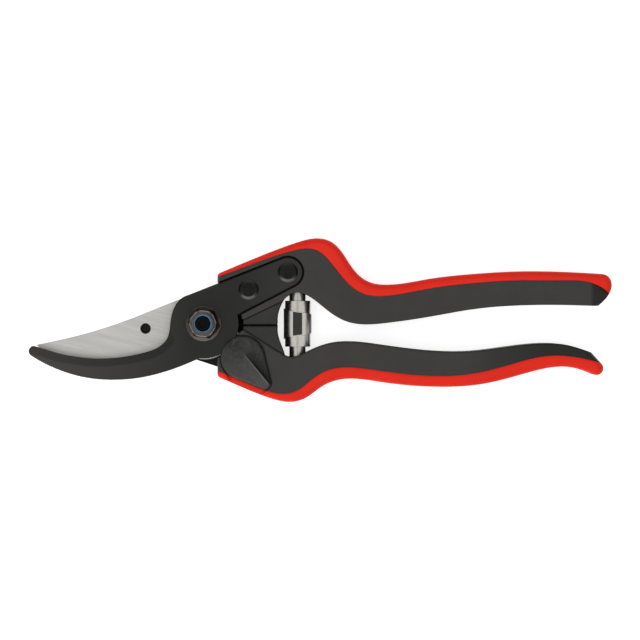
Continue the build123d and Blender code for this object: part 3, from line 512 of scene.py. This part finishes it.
def shaded_part_mask(tree, place, sizes):
    """1 on the tang and down in the hole, where painted shade makes the blade black, 0 on the ground faces of
    the blade.
    """
    spot = axes(tree, place)
    across = put(tree, "ShaderNodeCombineXYZ", X=spot["X"], Y=spot["Y"]).outputs[0]
    reach = put(tree, "ShaderNodeVectorMath", {"operation": "LENGTH"}, i0=across).outputs["Value"]
    tang = product(tree, maths(tree, "GREATER_THAN", reach, sizes.ground_radius),
                   maths(tree, "GREATER_THAN", spot["X"], sizes.ground_start))
    hole = product(tree, maths(tree, "LESS_THAN", spot["Z"], BLADE_FRONT - 0.0001),
                   maths(tree, "GREATER_THAN", facing(tree)["Z"], 0.6))
    return maths(tree, "MAXIMUM", tang, hole)


def ground_steel():
    """Belt-ground blade steel with strokes that slant along the blade, painted highlights along its edges,
    and painted shade that makes its tang and its hole black.
    """
    base = chosen("blade")
    material, tree, shader, place = start_material("ground_blade_steel", Specular_IOR_Level=0.15)
    strokes = effect(tree, "Grinding Strokes", Vector=place, Turn=(0.0, 0.0, math.radians(13.5)),
                     Length=45.0, Fineness=2600.0)
    edges = effect(tree, "Worn Edges", Vector=place, Width=0.00012, Break_Up=0.3)
    shaded_black = shaded_part_mask(tree, place, bpy.context.scene.shears_blade)
    body = mottled(tree, ramp(tree, strokes["Shade"], 0.0, 1.0, -0.9, 1.9), base, 0.84, 1.14)
    # Painted highlights along the sharp edges.
    body = toned(tree, edges, 0.4, body, BLADE_EDGE_HIGHLIGHT)
    # Painted shade: the tang and the hole's floor are black.
    body = blend_colours(tree, shaded_black, body, TANG_AND_HOLE_SHADE)
    tree.links.new(maths(tree, "SUBTRACT", 1.0, shaded_black), shader.inputs["Metallic"])
    rough = ramp(tree, strokes["Height"], 0.0, 1.0, 0.40, 0.58)
    dress(tree, shader, body, rough, strokes["Height"], 0.000012, edges["Normal"])
    return material


def flange_tone(tree, place, body, base, level):
    """A nut with painted shade on its flange and in a line round its hexagon, widest towards +X, a painted
    sheen on the flange towards -Y and a painted highlight round the top of the hexagon.
    """
    spot = axes(tree, place)
    below = maths(tree, "LESS_THAN", spot["Z"], level)
    reach = 0.0
    for flat in range(3):
        angle = math.radians(HEXAGON_TURN + 60 * flat)
        across = maths(tree, "ABSOLUTE", towards(tree, place, (math.cos(angle), math.sin(angle), 0.0)))
        reach = maths(tree, "MAXIMUM", across, reach)
    gap = maths(tree, "SUBTRACT", reach, HEXAGON_HALF)
    # Painted shade on the flange, a painted sheen on it towards -Y, a painted shadow round the hexagon and a
    # painted highlight round its top.
    body = blend_colours(tree, below, body, scaled(base, 0.40))
    painted_sheen = ramp(tree, spot["Y"], -0.0030, -0.0060, 0.0, 0.8)
    body = blend_colours(tree, product(tree, painted_sheen, below), body, base)
    width = ramp(tree, spot["X"], 0.0010, 0.0045, 0.00030, 0.00095)
    corner_shade = ramp(tree, gap, product(tree, width, 0.6), width, 0.95, 0.0)
    body = blend_colours(tree, product(tree, corner_shade, below), body, scaled(base, 0.05))
    top_highlight = ramp(tree, gap, -0.00055, -0.00030, 0.0, 0.8)
    above = maths(tree, "SUBTRACT", 1.0, below)
    return blend_colours(tree, product(tree, top_highlight, above), body, scaled(base, 1.9))


def burnished_steel(name, base, warm, cool, rough=0.30, edge=3.0, flange=None):
    """Burnished metal with warm and cool tempering tints, painted highlights on its edges and painted shade
    on its slopes.
    """
    material, tree, shader, place = start_material(name, metallic=1.0)
    grain, edges, marks = grain_edges_smudges(tree, place, 5000.0, 0.00018, 0.7, rough - 0.06, rough + 0.10, smudge=260.0)
    tint = noise(tree, place, 260.0, Detail=3.0, Distortion=1.2)
    tempered = blend_colours(tree, ramp(tree, tint, 0.0, 1.0, -0.8, 1.8), warm, cool)
    body = blend_colours(tree, marks, tempered, base)
    # Painted shade on slopes that lean away from upright.
    upright = maths(tree, "ABSOLUTE", facing(tree, "True Normal")["Z"])
    body = blend_colours(tree, ramp(tree, upright, 0.985, 0.80, 0.0, 0.6), body, scaled(base, 0.22))
    if flange:
        body = flange_tone(tree, place, body, base, flange)
    # Painted highlights along the sharp edges.
    body = toned(tree, edges, 0.55, body, scaled(base, edge))
    dress(tree, shader, body, marks, grain["Height"], 0.000006, edges["Normal"], 0.5)
    return material


def bright_strip():
    """Bright strip with drawing lines, painted shade that darkens its flank towards +X, and a flat polished
    like a mirror.
    """
    base = chosen("spring")
    material, tree, shader, place = start_material("bright_spring_strip", metallic=1.0)
    lines = effect(tree, "Grinding Strokes", Vector=place, Length=40.0, Fineness=5200.0)
    marks = effect(tree, "Handling", Vector=place, Scale=500.0, Low=0.27, High=0.36)["Roughness"]
    share = put(tree, "ShaderNodeAttribute", {"attribute_name": "share"}).outputs["Fac"]
    lean = facing(tree, "True Normal")
    flat = product(tree, maths(tree, "COMPARE", share, MIDDLE_SHARE, 0.01),
                   maths(tree, "GREATER_THAN", lean["Z"], 0.9995))
    body = mottled(tree, ramp(tree, lines["Shade"], 0.0, 1.0, -0.4, 1.4), base, 0.9, 1.08)
    # Painted shade: the flank that faces +X is darkened.
    body = blend_colours(tree, ramp(tree, lean["X"], 0.74, 0.86, 0.0, 0.92), body, scaled(base, 0.05))
    rough = put(tree, "ShaderNodeMix", {"data_type": "FLOAT"}, i0=flat, i2=marks, i3=0.06).outputs[0]
    dress(tree, shader, body, rough, lines["Height"], 0.000004)
    return material


def paint(material, *names):
    """Gives carried-over nodes their finish."""
    for name in names:
        piece = NODES[name]
        if not piece.material_slots:
            piece.data.materials.append(material)
        for held in piece.material_slots:
            held.material = material


# ---- Geometry Nodes ----
def unit_grid(group, columns):
    """A square grid of 25 rows, and how far along and across it a point lies from its middle."""
    grid = put(group, "GeometryNodeMeshGrid", Size_X=1.0, Size_Y=1.0, Vertices_X=columns, Vertices_Y=25)
    spot = axes(group, group.nodes.new("GeometryNodeInputPosition").outputs[0])
    return grid.outputs["Mesh"], spot["X"], spot["Y"]


def end_tree(group, given, result, geometry):
    """Ends a geometry tree with its instances made real and its material set."""
    real = put(group, "GeometryNodeRealizeInstances", Geometry=geometry)
    painted = put(group, "GeometryNodeSetMaterial", Geometry=real.outputs[0],
                  Material=given.outputs["Material"])
    group.links.new(painted.outputs[0], result.inputs[0])
    return group


def strip_group():
    """A strip wound round Y. Its radius, its edges and its share of the stretch change evenly along it."""
    numbers = ["Start Radius", "End Radius", "Start Angle", "End Angle", "Low Start", "Low End", "High Start",
               "High End", "Share Start", "Share End", "Flat Inset"]
    inputs = [(label, "NodeSocketFloat", 0.0) for label in numbers]
    inputs += [("Steps", "NodeSocketInt", 96), ("Material", "NodeSocketMaterial", None)]
    group, given, result = new_group("GeometryNodeTree", "Wound Strip", inputs,
                                     [("Geometry", "NodeSocketGeometry")])
    grid, x, y = unit_grid(group, given.outputs["Steps"])
    along, across = maths(group, "ADD", x, 0.5), maths(group, "ADD", y, 0.5)

    def between(first, last, share=along):
        return put(group, "ShaderNodeMix", {"data_type": "FLOAT"}, i0=share, i2=first, i3=last).outputs[0]

    angle = between(given.outputs["Start Angle"], given.outputs["End Angle"])
    round_radius = between(given.outputs["Start Radius"], given.outputs["End Radius"])
    lean = maths(group, "MAXIMUM", maths(group, "COSINE", angle), 0.2)
    flat = maths(group, "DIVIDE", maths(group, "SUBTRACT", round_radius, given.outputs["Flat Inset"]), lean)
    radius = maths(group, "MINIMUM", round_radius, flat)
    low = between(given.outputs["Low Start"], given.outputs["Low End"])
    high = between(given.outputs["High Start"], given.outputs["High End"])
    place = put(group, "ShaderNodeCombineXYZ", X=product(group, radius, maths(group, "SINE", angle)),
                Y=between(low, high, across), Z=product(group, radius, maths(group, "COSINE", angle)))
    share = put(group, "GeometryNodeStoreNamedAttribute", {"data_type": "FLOAT", "domain": "POINT"},
                Geometry=grid, Name="share",
                Value=between(given.outputs["Share Start"], given.outputs["Share End"]))
    moved = put(group, "GeometryNodeSetPosition", Geometry=share.outputs[0], Position=place.outputs[0])
    smooth = put(group, "GeometryNodeSetShadeSmooth", Geometry=moved.outputs[0], Shade_Smooth=True)
    return end_tree(group, given, result, smooth.outputs[0])


def head_group():
    """Turned heads, one at each of a row of places: a flat crown that rounds off into a straight skirt."""
    inputs = [("Radius", "NodeSocketFloat", 0.004), ("Height", "NodeSocketFloat", 0.001),
              ("Skirt", "NodeSocketFloat", 0.0005), ("Crown Start", "NodeSocketFloat", 0.6),
              ("Crown Power", "NodeSocketFloat", 2.2),
              ("First", "NodeSocketVector", None), ("Apart", "NodeSocketVector", None),
              ("Count", "NodeSocketInt", 2), ("Material", "NodeSocketMaterial", None)]
    group, given, result = new_group("GeometryNodeTree", "Turned Heads", inputs,
                                     [("Geometry", "NodeSocketGeometry")])
    grid, x, y = unit_grid(group, 73)
    angle, out = product(group, x, math.tau), maths(group, "ADD", y, 0.5)
    # The share of the radius goes up over the crown, stays over the skirt and comes back under the foot.
    crown_rows, foot_rows = 1 / 1.2, 1 / 24.0
    rise = product(group, out, 1 / crown_rows)
    back = product(group, maths(group, "SUBTRACT", 1.0, out), 1 / foot_rows)
    share = maths(group, "MINIMUM", maths(group, "MINIMUM", rise, 1.0), back)
    past = ramp(group, rise, given.outputs["Crown Start"], 1.0)
    fall = maths(group, "SUBTRACT", 1.0, maths(group, "POWER", past, given.outputs["Crown Power"]))
    below = ramp(group, out, crown_rows, 1.0 - foot_rows)
    reach = product(group, share, given.outputs["Radius"])
    level = maths(group, "ADD", product(group, fall, given.outputs["Height"]),
                  product(group, below, given.outputs["Skirt"]))
    place = put(group, "ShaderNodeCombineXYZ", X=product(group, reach, maths(group, "COSINE", angle)),
                Y=product(group, reach, maths(group, "SINE", angle)), Z=level)
    moved = put(group, "GeometryNodeSetPosition", Geometry=grid, Position=place.outputs[0])
    closed = put(group, "GeometryNodeMergeByDistance", Geometry=moved.outputs[0], Distance=0.000002)
    smooth = put(group, "GeometryNodeSetShadeSmooth", Geometry=closed.outputs[0], Shade_Smooth=True)
    row = put(group, "GeometryNodeMeshLine", {"mode": "OFFSET"}, Count=given.outputs["Count"],
              Start_Location=given.outputs["First"], Offset=given.outputs["Apart"])
    heads = put(group, "GeometryNodeInstanceOnPoints", Points=row.outputs[0], Instance=smooth.outputs[0])
    return end_tree(group, given, result, heads.outputs[0])


def placed(name, data):
    """A new object in the scene."""
    thing = bpy.data.objects.new(name, data)
    bpy.context.scene.collection.objects.link(thing)
    return thing


def outward(mesh):
    """Turns every face of a closed mesh to the outside."""
    work = bmesh.new()
    work.from_mesh(mesh)
    bmesh.ops.recalc_face_normals(work, faces=work.faces)
    work.to_mesh(mesh)
    work.free()


def socket_key(group, label):
    return next(item.identifier for item in group.interface.items_tree
                if item.item_type == "SOCKET" and item.in_out == "INPUT" and item.name == label)


def grown(name, group, values, thickness=0.0, edge=0.0):
    """Runs a geometry tree on an empty mesh and keeps the result as a plain mesh."""
    source = placed(name + "_source", bpy.data.meshes.new(name + "_source"))
    modifier = source.modifiers.new("Tree", "NODES")
    modifier.node_group = group
    for label, value in values.items():
        modifier[socket_key(group, label)] = tuple(value) if isinstance(value, Vector) else value
    if thickness:
        wall = source.modifiers.new("Wall", "SOLIDIFY")
        wall.thickness = thickness
        wall.offset = -1.0
        wall.use_even_offset = True
    if edge:
        soft = source.modifiers.new("Edge", "BEVEL")
        soft.width = edge
        soft.segments = 2
        soft.limit_method = "ANGLE"
        soft.angle_limit = math.radians(60)
    bpy.context.view_layer.update()
    ready = source.evaluated_get(bpy.context.evaluated_depsgraph_get())
    mesh = bpy.data.meshes.new_from_object(ready)
    bpy.data.objects.remove(source)
    mesh.name = name
    if not mesh.polygons:
        raise RuntimeError(f"{name} came out empty")
    return placed(name, mesh)


def prism(name, outline, low, high):
    """An upright prism over a flat outline."""
    mesh = bpy.data.meshes.new(name)
    shape = bmesh.new()
    foot = shape.faces.new([shape.verts.new((x, y, low)) for x, y in outline])
    raised = bmesh.ops.extrude_face_region(shape, geom=[foot])["geom"]
    bmesh.ops.translate(shape, verts=[part for part in raised if isinstance(part, bmesh.types.BMVert)],
                        vec=(0, 0, high - low))
    bmesh.ops.recalc_face_normals(shape, faces=shape.faces)
    shape.to_mesh(mesh)
    shape.free()
    return placed(name, mesh)


def joined(name, pieces):
    """Several plain meshes made one piece."""
    bpy.ops.object.select_all(action="DESELECT")
    for piece in pieces:
        piece.select_set(True)
    bpy.context.view_layer.objects.active = pieces[0]
    bpy.ops.object.join()
    pieces[0].name = name
    pieces[0].data.name = name
    return pieces[0]


# ---- Operators ----
class SHEARS_OT_stage(bpy.types.Operator):
    """Sets the floor, the soft light, the cards and walls that metal mirrors, and the camera"""

    bl_idname = "shears.stage"
    bl_label = "Stage"

    def execute(self, context):
        sizes = context.scene.shears_stage
        scene = context.scene
        scene.view_settings.view_transform = "Standard"
        self.make_world(scene)
        self.make_floor(sizes)
        self.make_lamps(sizes)
        self.make_cards(sizes)
        self.make_camera(scene, sizes)
        return {"FINISHED"}

    def seen_directly(self, tree):
        """1 for what the camera, metal or glass sees, 0 for the light itself."""
        path = tree.nodes.new("ShaderNodeLightPath")
        first = maths(tree, "MAXIMUM", path.outputs["Is Camera Ray"], path.outputs["Is Glossy Ray"])
        return maths(tree, "MAXIMUM", first, path.outputs["Is Transmission Ray"])

    def make_world(self, scene):
        world = bpy.data.worlds.new("studio")
        world.use_nodes = True
        tree = world.node_tree
        tree.nodes.clear()
        fill = put(tree, "ShaderNodeBackground", Color=WHITE, Strength=FILL_LIGHT)
        white = put(tree, "ShaderNodeBackground", Color=WHITE, Strength=1.0)
        mixed = put(tree, "ShaderNodeMixShader", i0=self.seen_directly(tree), i1=fill.outputs[0],
                    i2=white.outputs[0])
        out = tree.nodes.new("ShaderNodeOutputWorld")
        tree.links.new(mixed.outputs[0], out.inputs[0])
        scene.world = world

    def make_floor(self, sizes):
        half = sizes.floor / 2
        mesh = bpy.data.meshes.new("floor")
        corners = [(-half, -half, 0), (half, -half, 0), (half, half, 0), (-half, half, 0)]
        mesh.from_pydata(corners, [], [(0, 1, 2, 3)])
        floor = placed("floor", mesh)
        floor.location.z = CAD_BOX[0].z - FLOOR_GAP
        material, tree, shader, _ = start_material(
            "pale_floor", Base_Color=(0.80, 0.80, 0.80, 1.0), Roughness=0.9, Specular_IOR_Level=0.1,
            Emission_Color=WHITE
        )
        glow = product(tree, self.seen_directly(tree), FLOOR_GLOW)
        tree.links.new(glow, shader.inputs["Emission Strength"])
        mesh.materials.append(material)

    def make_lamps(self, sizes):
        for name, place, size, power in LAMPS:
            data = bpy.data.lights.new(name, "AREA")
            data.shape = "SQUARE"
            data.size = size
            data.energy = power
            lamp = placed(name, data)
            lamp.location = place
            aim = Vector((sizes.centre_x, sizes.centre_y, 0)) - lamp.location
            lamp.rotation_mode = "QUATERNION"
            lamp.rotation_quaternion = aim.to_track_quat("-Z", "Y")
            lamp.visible_glossy = False

    def make_cards(self, sizes):
        """A card over the camera with a dark middle, dark end walls and a far grey shade."""
        centre = Vector((sizes.centre_x, sizes.centre_y, FRONT_LEVEL + sizes.camera_height + 0.05))
        overhead = bpy.data.meshes.new("camera_card")
        corners = [centre + Vector((x, y, 0)) * CARD_SIDE for x, y in ((-1, -1), (1, -1), (1, 1), (-1, 1))]
        overhead.from_pydata(corners, [], [(3, 2, 1, 0)])
        overhead.materials.append(self.card_finish(middle=centre))
        ends = self.curved_wall("end_walls", centre.x, END_WALLS)
        ends.materials.append(self.card_finish())
        shade = self.curved_wall("far_shade", centre.x, FAR_SHADE)
        shade.materials.append(self.card_finish(glow=SHADE_GLOW))
        for mesh in (overhead, ends, shade):
            card = placed(mesh.name, mesh)
            card.visible_camera = False
            card.visible_diffuse = False
            card.visible_shadow = False

    def curved_wall(self, name, x, stretches, radius=1.3, steps=24):
        """Upright walls that stand in an arc round the shears."""
        mesh = bpy.data.meshes.new(name)
        points, faces = [], []
        for middle, wide, foot, top in stretches:
            first = len(points)
            for level in (foot, top):
                for i in range(steps + 1):
                    angle = math.radians(middle - wide + 2 * wide * i / steps)
                    points.append((x + radius * math.cos(angle), radius * math.sin(angle), level))
            row = steps + 1
            faces += [(first + i, first + i + 1, first + row + i + 1, first + row + i) for i in range(steps)]
        mesh.from_pydata(points, [], faces)
        return mesh

    def card_finish(self, middle=None, glow=0.0):
        """Matt black, evenly grey, or brighter from a dark middle outwards."""
        material, tree, shader, place = start_material(
            "card", Base_Color=(0.02, 0.019, 0.017, 1.0), Roughness=1.0, Specular_IOR_Level=0.0,
            Emission_Color=WHITE, Emission_Strength=glow
        )
        if middle is not None:
            away = put(tree, "ShaderNodeVectorMath", {"operation": "DISTANCE"}, i0=place, i1=tuple(middle))
            paler = put(tree, "ShaderNodeMapRange", {"interpolation_type": "SMOOTHSTEP"},
                        i0=away.outputs["Value"], i1=0.2 * CARD_SIDE, i2=0.8 * CARD_SIDE, i3=0.06, i4=1.0)
            tree.links.new(paler.outputs[0], shader.inputs["Emission Strength"])
        return material

    def make_camera(self, scene, sizes):
        data = bpy.data.cameras.new("camera")
        data.sensor_width = 36.0
        data.lens = 36.0 * sizes.camera_height / sizes.field
        data.clip_end = 20.0
        camera = placed("camera", data)
        camera.location = (sizes.centre_x, sizes.centre_y, FRONT_LEVEL + sizes.camera_height)
        scene.camera = camera


class SHEARS_OT_handles(bpy.types.Operator):
    """Finishes the cores in their grey coat and the soft grips of both handles"""

    bl_idname = "shears.handles"
    bl_label = "Handles"

    def execute(self, context):
        paint(core_coat("upper_core_coat", fade=(0.1490, 0.1506), share=0.34), "upper_core")
        paint(core_coat("lower_core_coat", fade=(0.098, 0.132), share=0.30), "lower_core")
        # The grips' edges are paler: a painted highlight along them.
        grip = coated_finish("soft_grip", chosen("grip"), rough=0.50, grain_scale=3600.0,
                             grain_depth=0.00003, edge_width=0.0012, edge_lift=0.30, specular=0.20,
                             edge_tone=1.4)
        paint(grip, "upper_grip", "lower_grip")
        return {"FINISHED"}


class SHEARS_OT_bumpers(bpy.types.Operator):
    """Finishes the two rubber stops between the handles"""

    bl_idname = "shears.bumpers"
    bl_label = "Bumpers"

    def execute(self, context):
        rubber = bumper_rubber()
        paint(rubber, "upper_bumper", "lower_bumper")
        # This corner of rubber closes the chink between the lower bumper's lip and the handle's nose: a dark
        # piece, black with painted shade, where the chink shows only shade.
        corner = prism("bumper_corner", SHADE_CORNER_OUTLINE, *SHADE_CORNER_LEVELS)
        corner.data.materials.append(rubber)
        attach(corner, "blade_side")
        return {"FINISHED"}


class SHEARS_OT_hook(bpy.types.Operator):
    """Finishes the hook blade"""

    bl_idname = "shears.hook"
    bl_label = "Hook Blade"

    def execute(self, context):
        paint(hook_coat(), "hook_blade")
        return {"FINISHED"}


class SHEARS_OT_rivets(bpy.types.Operator):
    """Heads both rivets, in front and behind, and finishes their washers"""

    bl_idname = "shears.rivets"
    bl_label = "Rivets"

    def execute(self, context):
        sizes = context.scene.shears_rivets
        coat = rivet_finish()
        low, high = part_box("hook_rivets")
        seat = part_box("hook_rivet_washers")[0].z
        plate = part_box("hook_blade")[1].z
        radius = sizes.head_radius
        first = Vector((low.x + radius, low.y + radius, 0))
        apart = Vector((high.x - radius, high.y - radius, 0)) - first
        group = head_group()
        pieces = []
        for name, level, height, skirt, crown, power in (
                ("front_heads", plate, high.z - plate, -0.0004, sizes.front_crown, 1.15),
                ("back_heads", seat, low.z - seat, 0.0002, sizes.back_crown, 2.2)):
            values = {"Radius": radius, "Height": height, "Skirt": skirt, "Crown Start": crown,
                      "Crown Power": power, "First": first + Vector((0, 0, level)), "Apart": apart,
                      "Count": 2, "Material": coat}
            pieces.append(grown(name, group, values))
        rivets = joined("rivet_heads", pieces)
        outward(rivets.data)
        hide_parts("hook_rivets")
        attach(rivets, "hook_side")
        paint(coat, "hook_rivet_washers")
        return {"FINISHED"}


class SHEARS_OT_blade(bpy.types.Operator):
    """Finishes the ground cutting blade"""

    bl_idname = "shears.blade"
    bl_label = "Cutting Blade"

    def execute(self, context):
        paint(ground_steel(), "cutting_blade")
        return {"FINISHED"}


class SHEARS_OT_pivot(bpy.types.Operator):
    """Finishes the pivot bolt, its washer, bushing, nut and nylon ring"""

    bl_idname = "shears.pivot"
    bl_label = "Pivot"

    def execute(self, context):
        steel = chosen("nut")
        nut = burnished_steel("burnished_nut", steel, (0.15, 0.118, 0.098), (0.09, 0.10, 0.108), rough=0.22,
                              edge=3.4, flange=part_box("pivot_nut")[1].z - HEXAGON_HEIGHT)
        # The bolt is made near black, as dark as its hole looks.
        bolt = burnished_steel("blackened_bolt", scaled(steel, 0.08), (0.010, 0.009, 0.008),
                               (0.008, 0.009, 0.010), rough=0.42)
        bronze = burnished_steel("bushing_bronze", chosen("bushing"), (0.5, 0.30, 0.11),
                                 (0.55, 0.38, 0.18))
        nylon = coated_finish("nylon_ring", chosen("insert"), rough=0.35, grain_scale=5000.0,
                              grain_depth=0.00001, edge_width=0.0001, edge_lift=0.0, specular=0.5)
        paint(nut, "pivot_nut", "pivot_washer")
        paint(bolt, "pivot_bolt")
        paint(bronze, "pivot_bushing", "blade_screw_inserts")
        paint(nylon, "nut_insert")
        return {"FINISHED"}


class SHEARS_OT_screws(bpy.types.Operator):
    """Finishes the blade's screws and the catch's screw and washer"""

    bl_idname = "shears.screws"
    bl_label = "Screws"

    def execute(self, context):
        zinc = burnished_steel("zinc_screw", (0.34, 0.335, 0.32), (0.36, 0.33, 0.29), (0.30, 0.32, 0.34))
        paint(zinc, "blade_screws", "catch_screw", "catch_washer")
        return {"FINISHED"}


class SHEARS_OT_catch(bpy.types.Operator):
    """Finishes the thumb catch"""

    bl_idname = "shears.catch"
    bl_label = "Thumb Catch"

    def execute(self, context):
        paint(catch_finish(), "thumb_catch")
        return {"FINISHED"}


class SHEARS_OT_spring(bpy.types.Operator):
    """Winds the volute spring: a wide middle turn, two turns beside it and an end coil in each handle"""

    bl_idname = "shears.spring"
    bl_label = "Volute Spring"

    def execute(self, context):
        sizes = context.scene.shears_spring
        group = strip_group()
        material = bright_strip()
        wide, beside, coil = sizes.middle_radius, sizes.second_radius, sizes.end_radius
        neck, root, mouth = 0.0012, 0.0035, 0.0083   # how far the turns' edges lie from the middle
        inset = wide - math.sqrt(wide ** 2 - (sizes.flat_width / 2) ** 2)
        slope = (sizes.middle_height - sizes.middle_taper) / math.pi
        parts = []

        def wind(name, radii, angles, low, high, shares, steps, flat=0.0):
            values = {"Flat Inset": flat, "Steps": steps, "Material": material}
            for label, pair in (("Radius", radii), ("Angle", angles)):
                values["Start " + label], values["End " + label] = pair
            for label, pair in (("Low", low), ("High", high), ("Share", shares)):
                values[label + " Start"], values[label + " End"] = pair
            parts.append(grown(name, group, values, sizes.strip, sizes.strip * 0.2))

        def edges(side, first, last):
            """The lower and the upper edge of a turn that lies between two distances from the middle."""
            low, high = sorted((side * first, side * last))
            return (low, low), (high, high)

        # The widest turn goes from behind, over -X and the front, to its tapered end behind on the +X side.
        start, end = -math.pi, 0.72 * math.pi
        tall = sizes.middle_height + slope * (-math.pi / 2 - start)
        short = sizes.middle_taper - slope * (end - math.pi / 2)
        wind("middle_turn", (wide, wide), (start, end), (-tall, -short), (tall, short),
             (MIDDLE_SHARE, MIDDLE_SHARE), 120, inset)
        for side, near, far in ((1, 0.28, 0.0), (-1, 0.72, 1.0)):
            wind("second_turn", (beside, beside - 0.0002), (-0.75 * math.tau, 0.45 * math.tau),
                 *edges(side, neck, sizes.second_height), (near, near), 110)
            wind("joining_turn", (beside - 0.0006, coil + 0.0002), (0.1 * math.tau, math.tau),
                 *edges(side, root, mouth), (near, far), 72)
            wind("end_coil", (coil, coil - 0.0003), (-0.6 * math.tau, 0.65 * math.tau),
                 *edges(side, root, SPRING_HALF), (far, far), 96)
        spring = joined("spring_strip", parts)
        spring.data.transform(Matrix.Translation(SPRING_CENTRE))
        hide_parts("volute_spring")
        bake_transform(spring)
        return {"FINISHED"}


STEPS = (
    SHEARS_OT_stage,
    SHEARS_OT_handles,
    SHEARS_OT_bumpers,
    SHEARS_OT_hook,
    SHEARS_OT_rivets,
    SHEARS_OT_blade,
    SHEARS_OT_pivot,
    SHEARS_OT_screws,
    SHEARS_OT_catch,
    SHEARS_OT_spring,
)


GROUPS = {"shears_spring": SpringSizes, "shears_blade": BladeSizes, "shears_rivets": RivetSizes,
          "shears_colours": FinishColours, "shears_stage": StageSizes}


class SHEARS_PT_panel(bpy.types.Panel):
    """The shears' pieces, in the order in which they are made"""

    bl_label = "Pruning Shears"
    bl_idname = "SHEARS_PT_panel"
    bl_space_type = "VIEW_3D"
    bl_region_type = "UI"
    bl_category = "Shears"

    def draw(self, context):
        column = self.layout.column(align=True)
        for step in STEPS:
            column.operator(step.bl_idname)
        for name in GROUPS:
            group = getattr(context.scene, name)
            box = self.layout.box()
            for key in group.bl_rna.properties.keys():
                if key not in {"rna_type", "name"}:
                    box.prop(group, key)


def register():
    for group in GROUPS.values():
        bpy.utils.register_class(group)
    for name, group in GROUPS.items():
        setattr(bpy.types.Scene, name, bpy.props.PointerProperty(type=group))
    for made in (*STEPS, SHEARS_PT_panel):
        bpy.utils.register_class(made)


def unregister():
    for made in reversed((*STEPS, SHEARS_PT_panel)):
        bpy.utils.unregister_class(made)
    for name, group in GROUPS.items():
        delattr(bpy.types.Scene, name)
        bpy.utils.unregister_class(group)


def main():
    register()
    for step in STEPS:
        family, name = step.bl_idname.split(".")
        getattr(getattr(bpy.ops, family), name)()


if __name__ == "__main__":
    main()
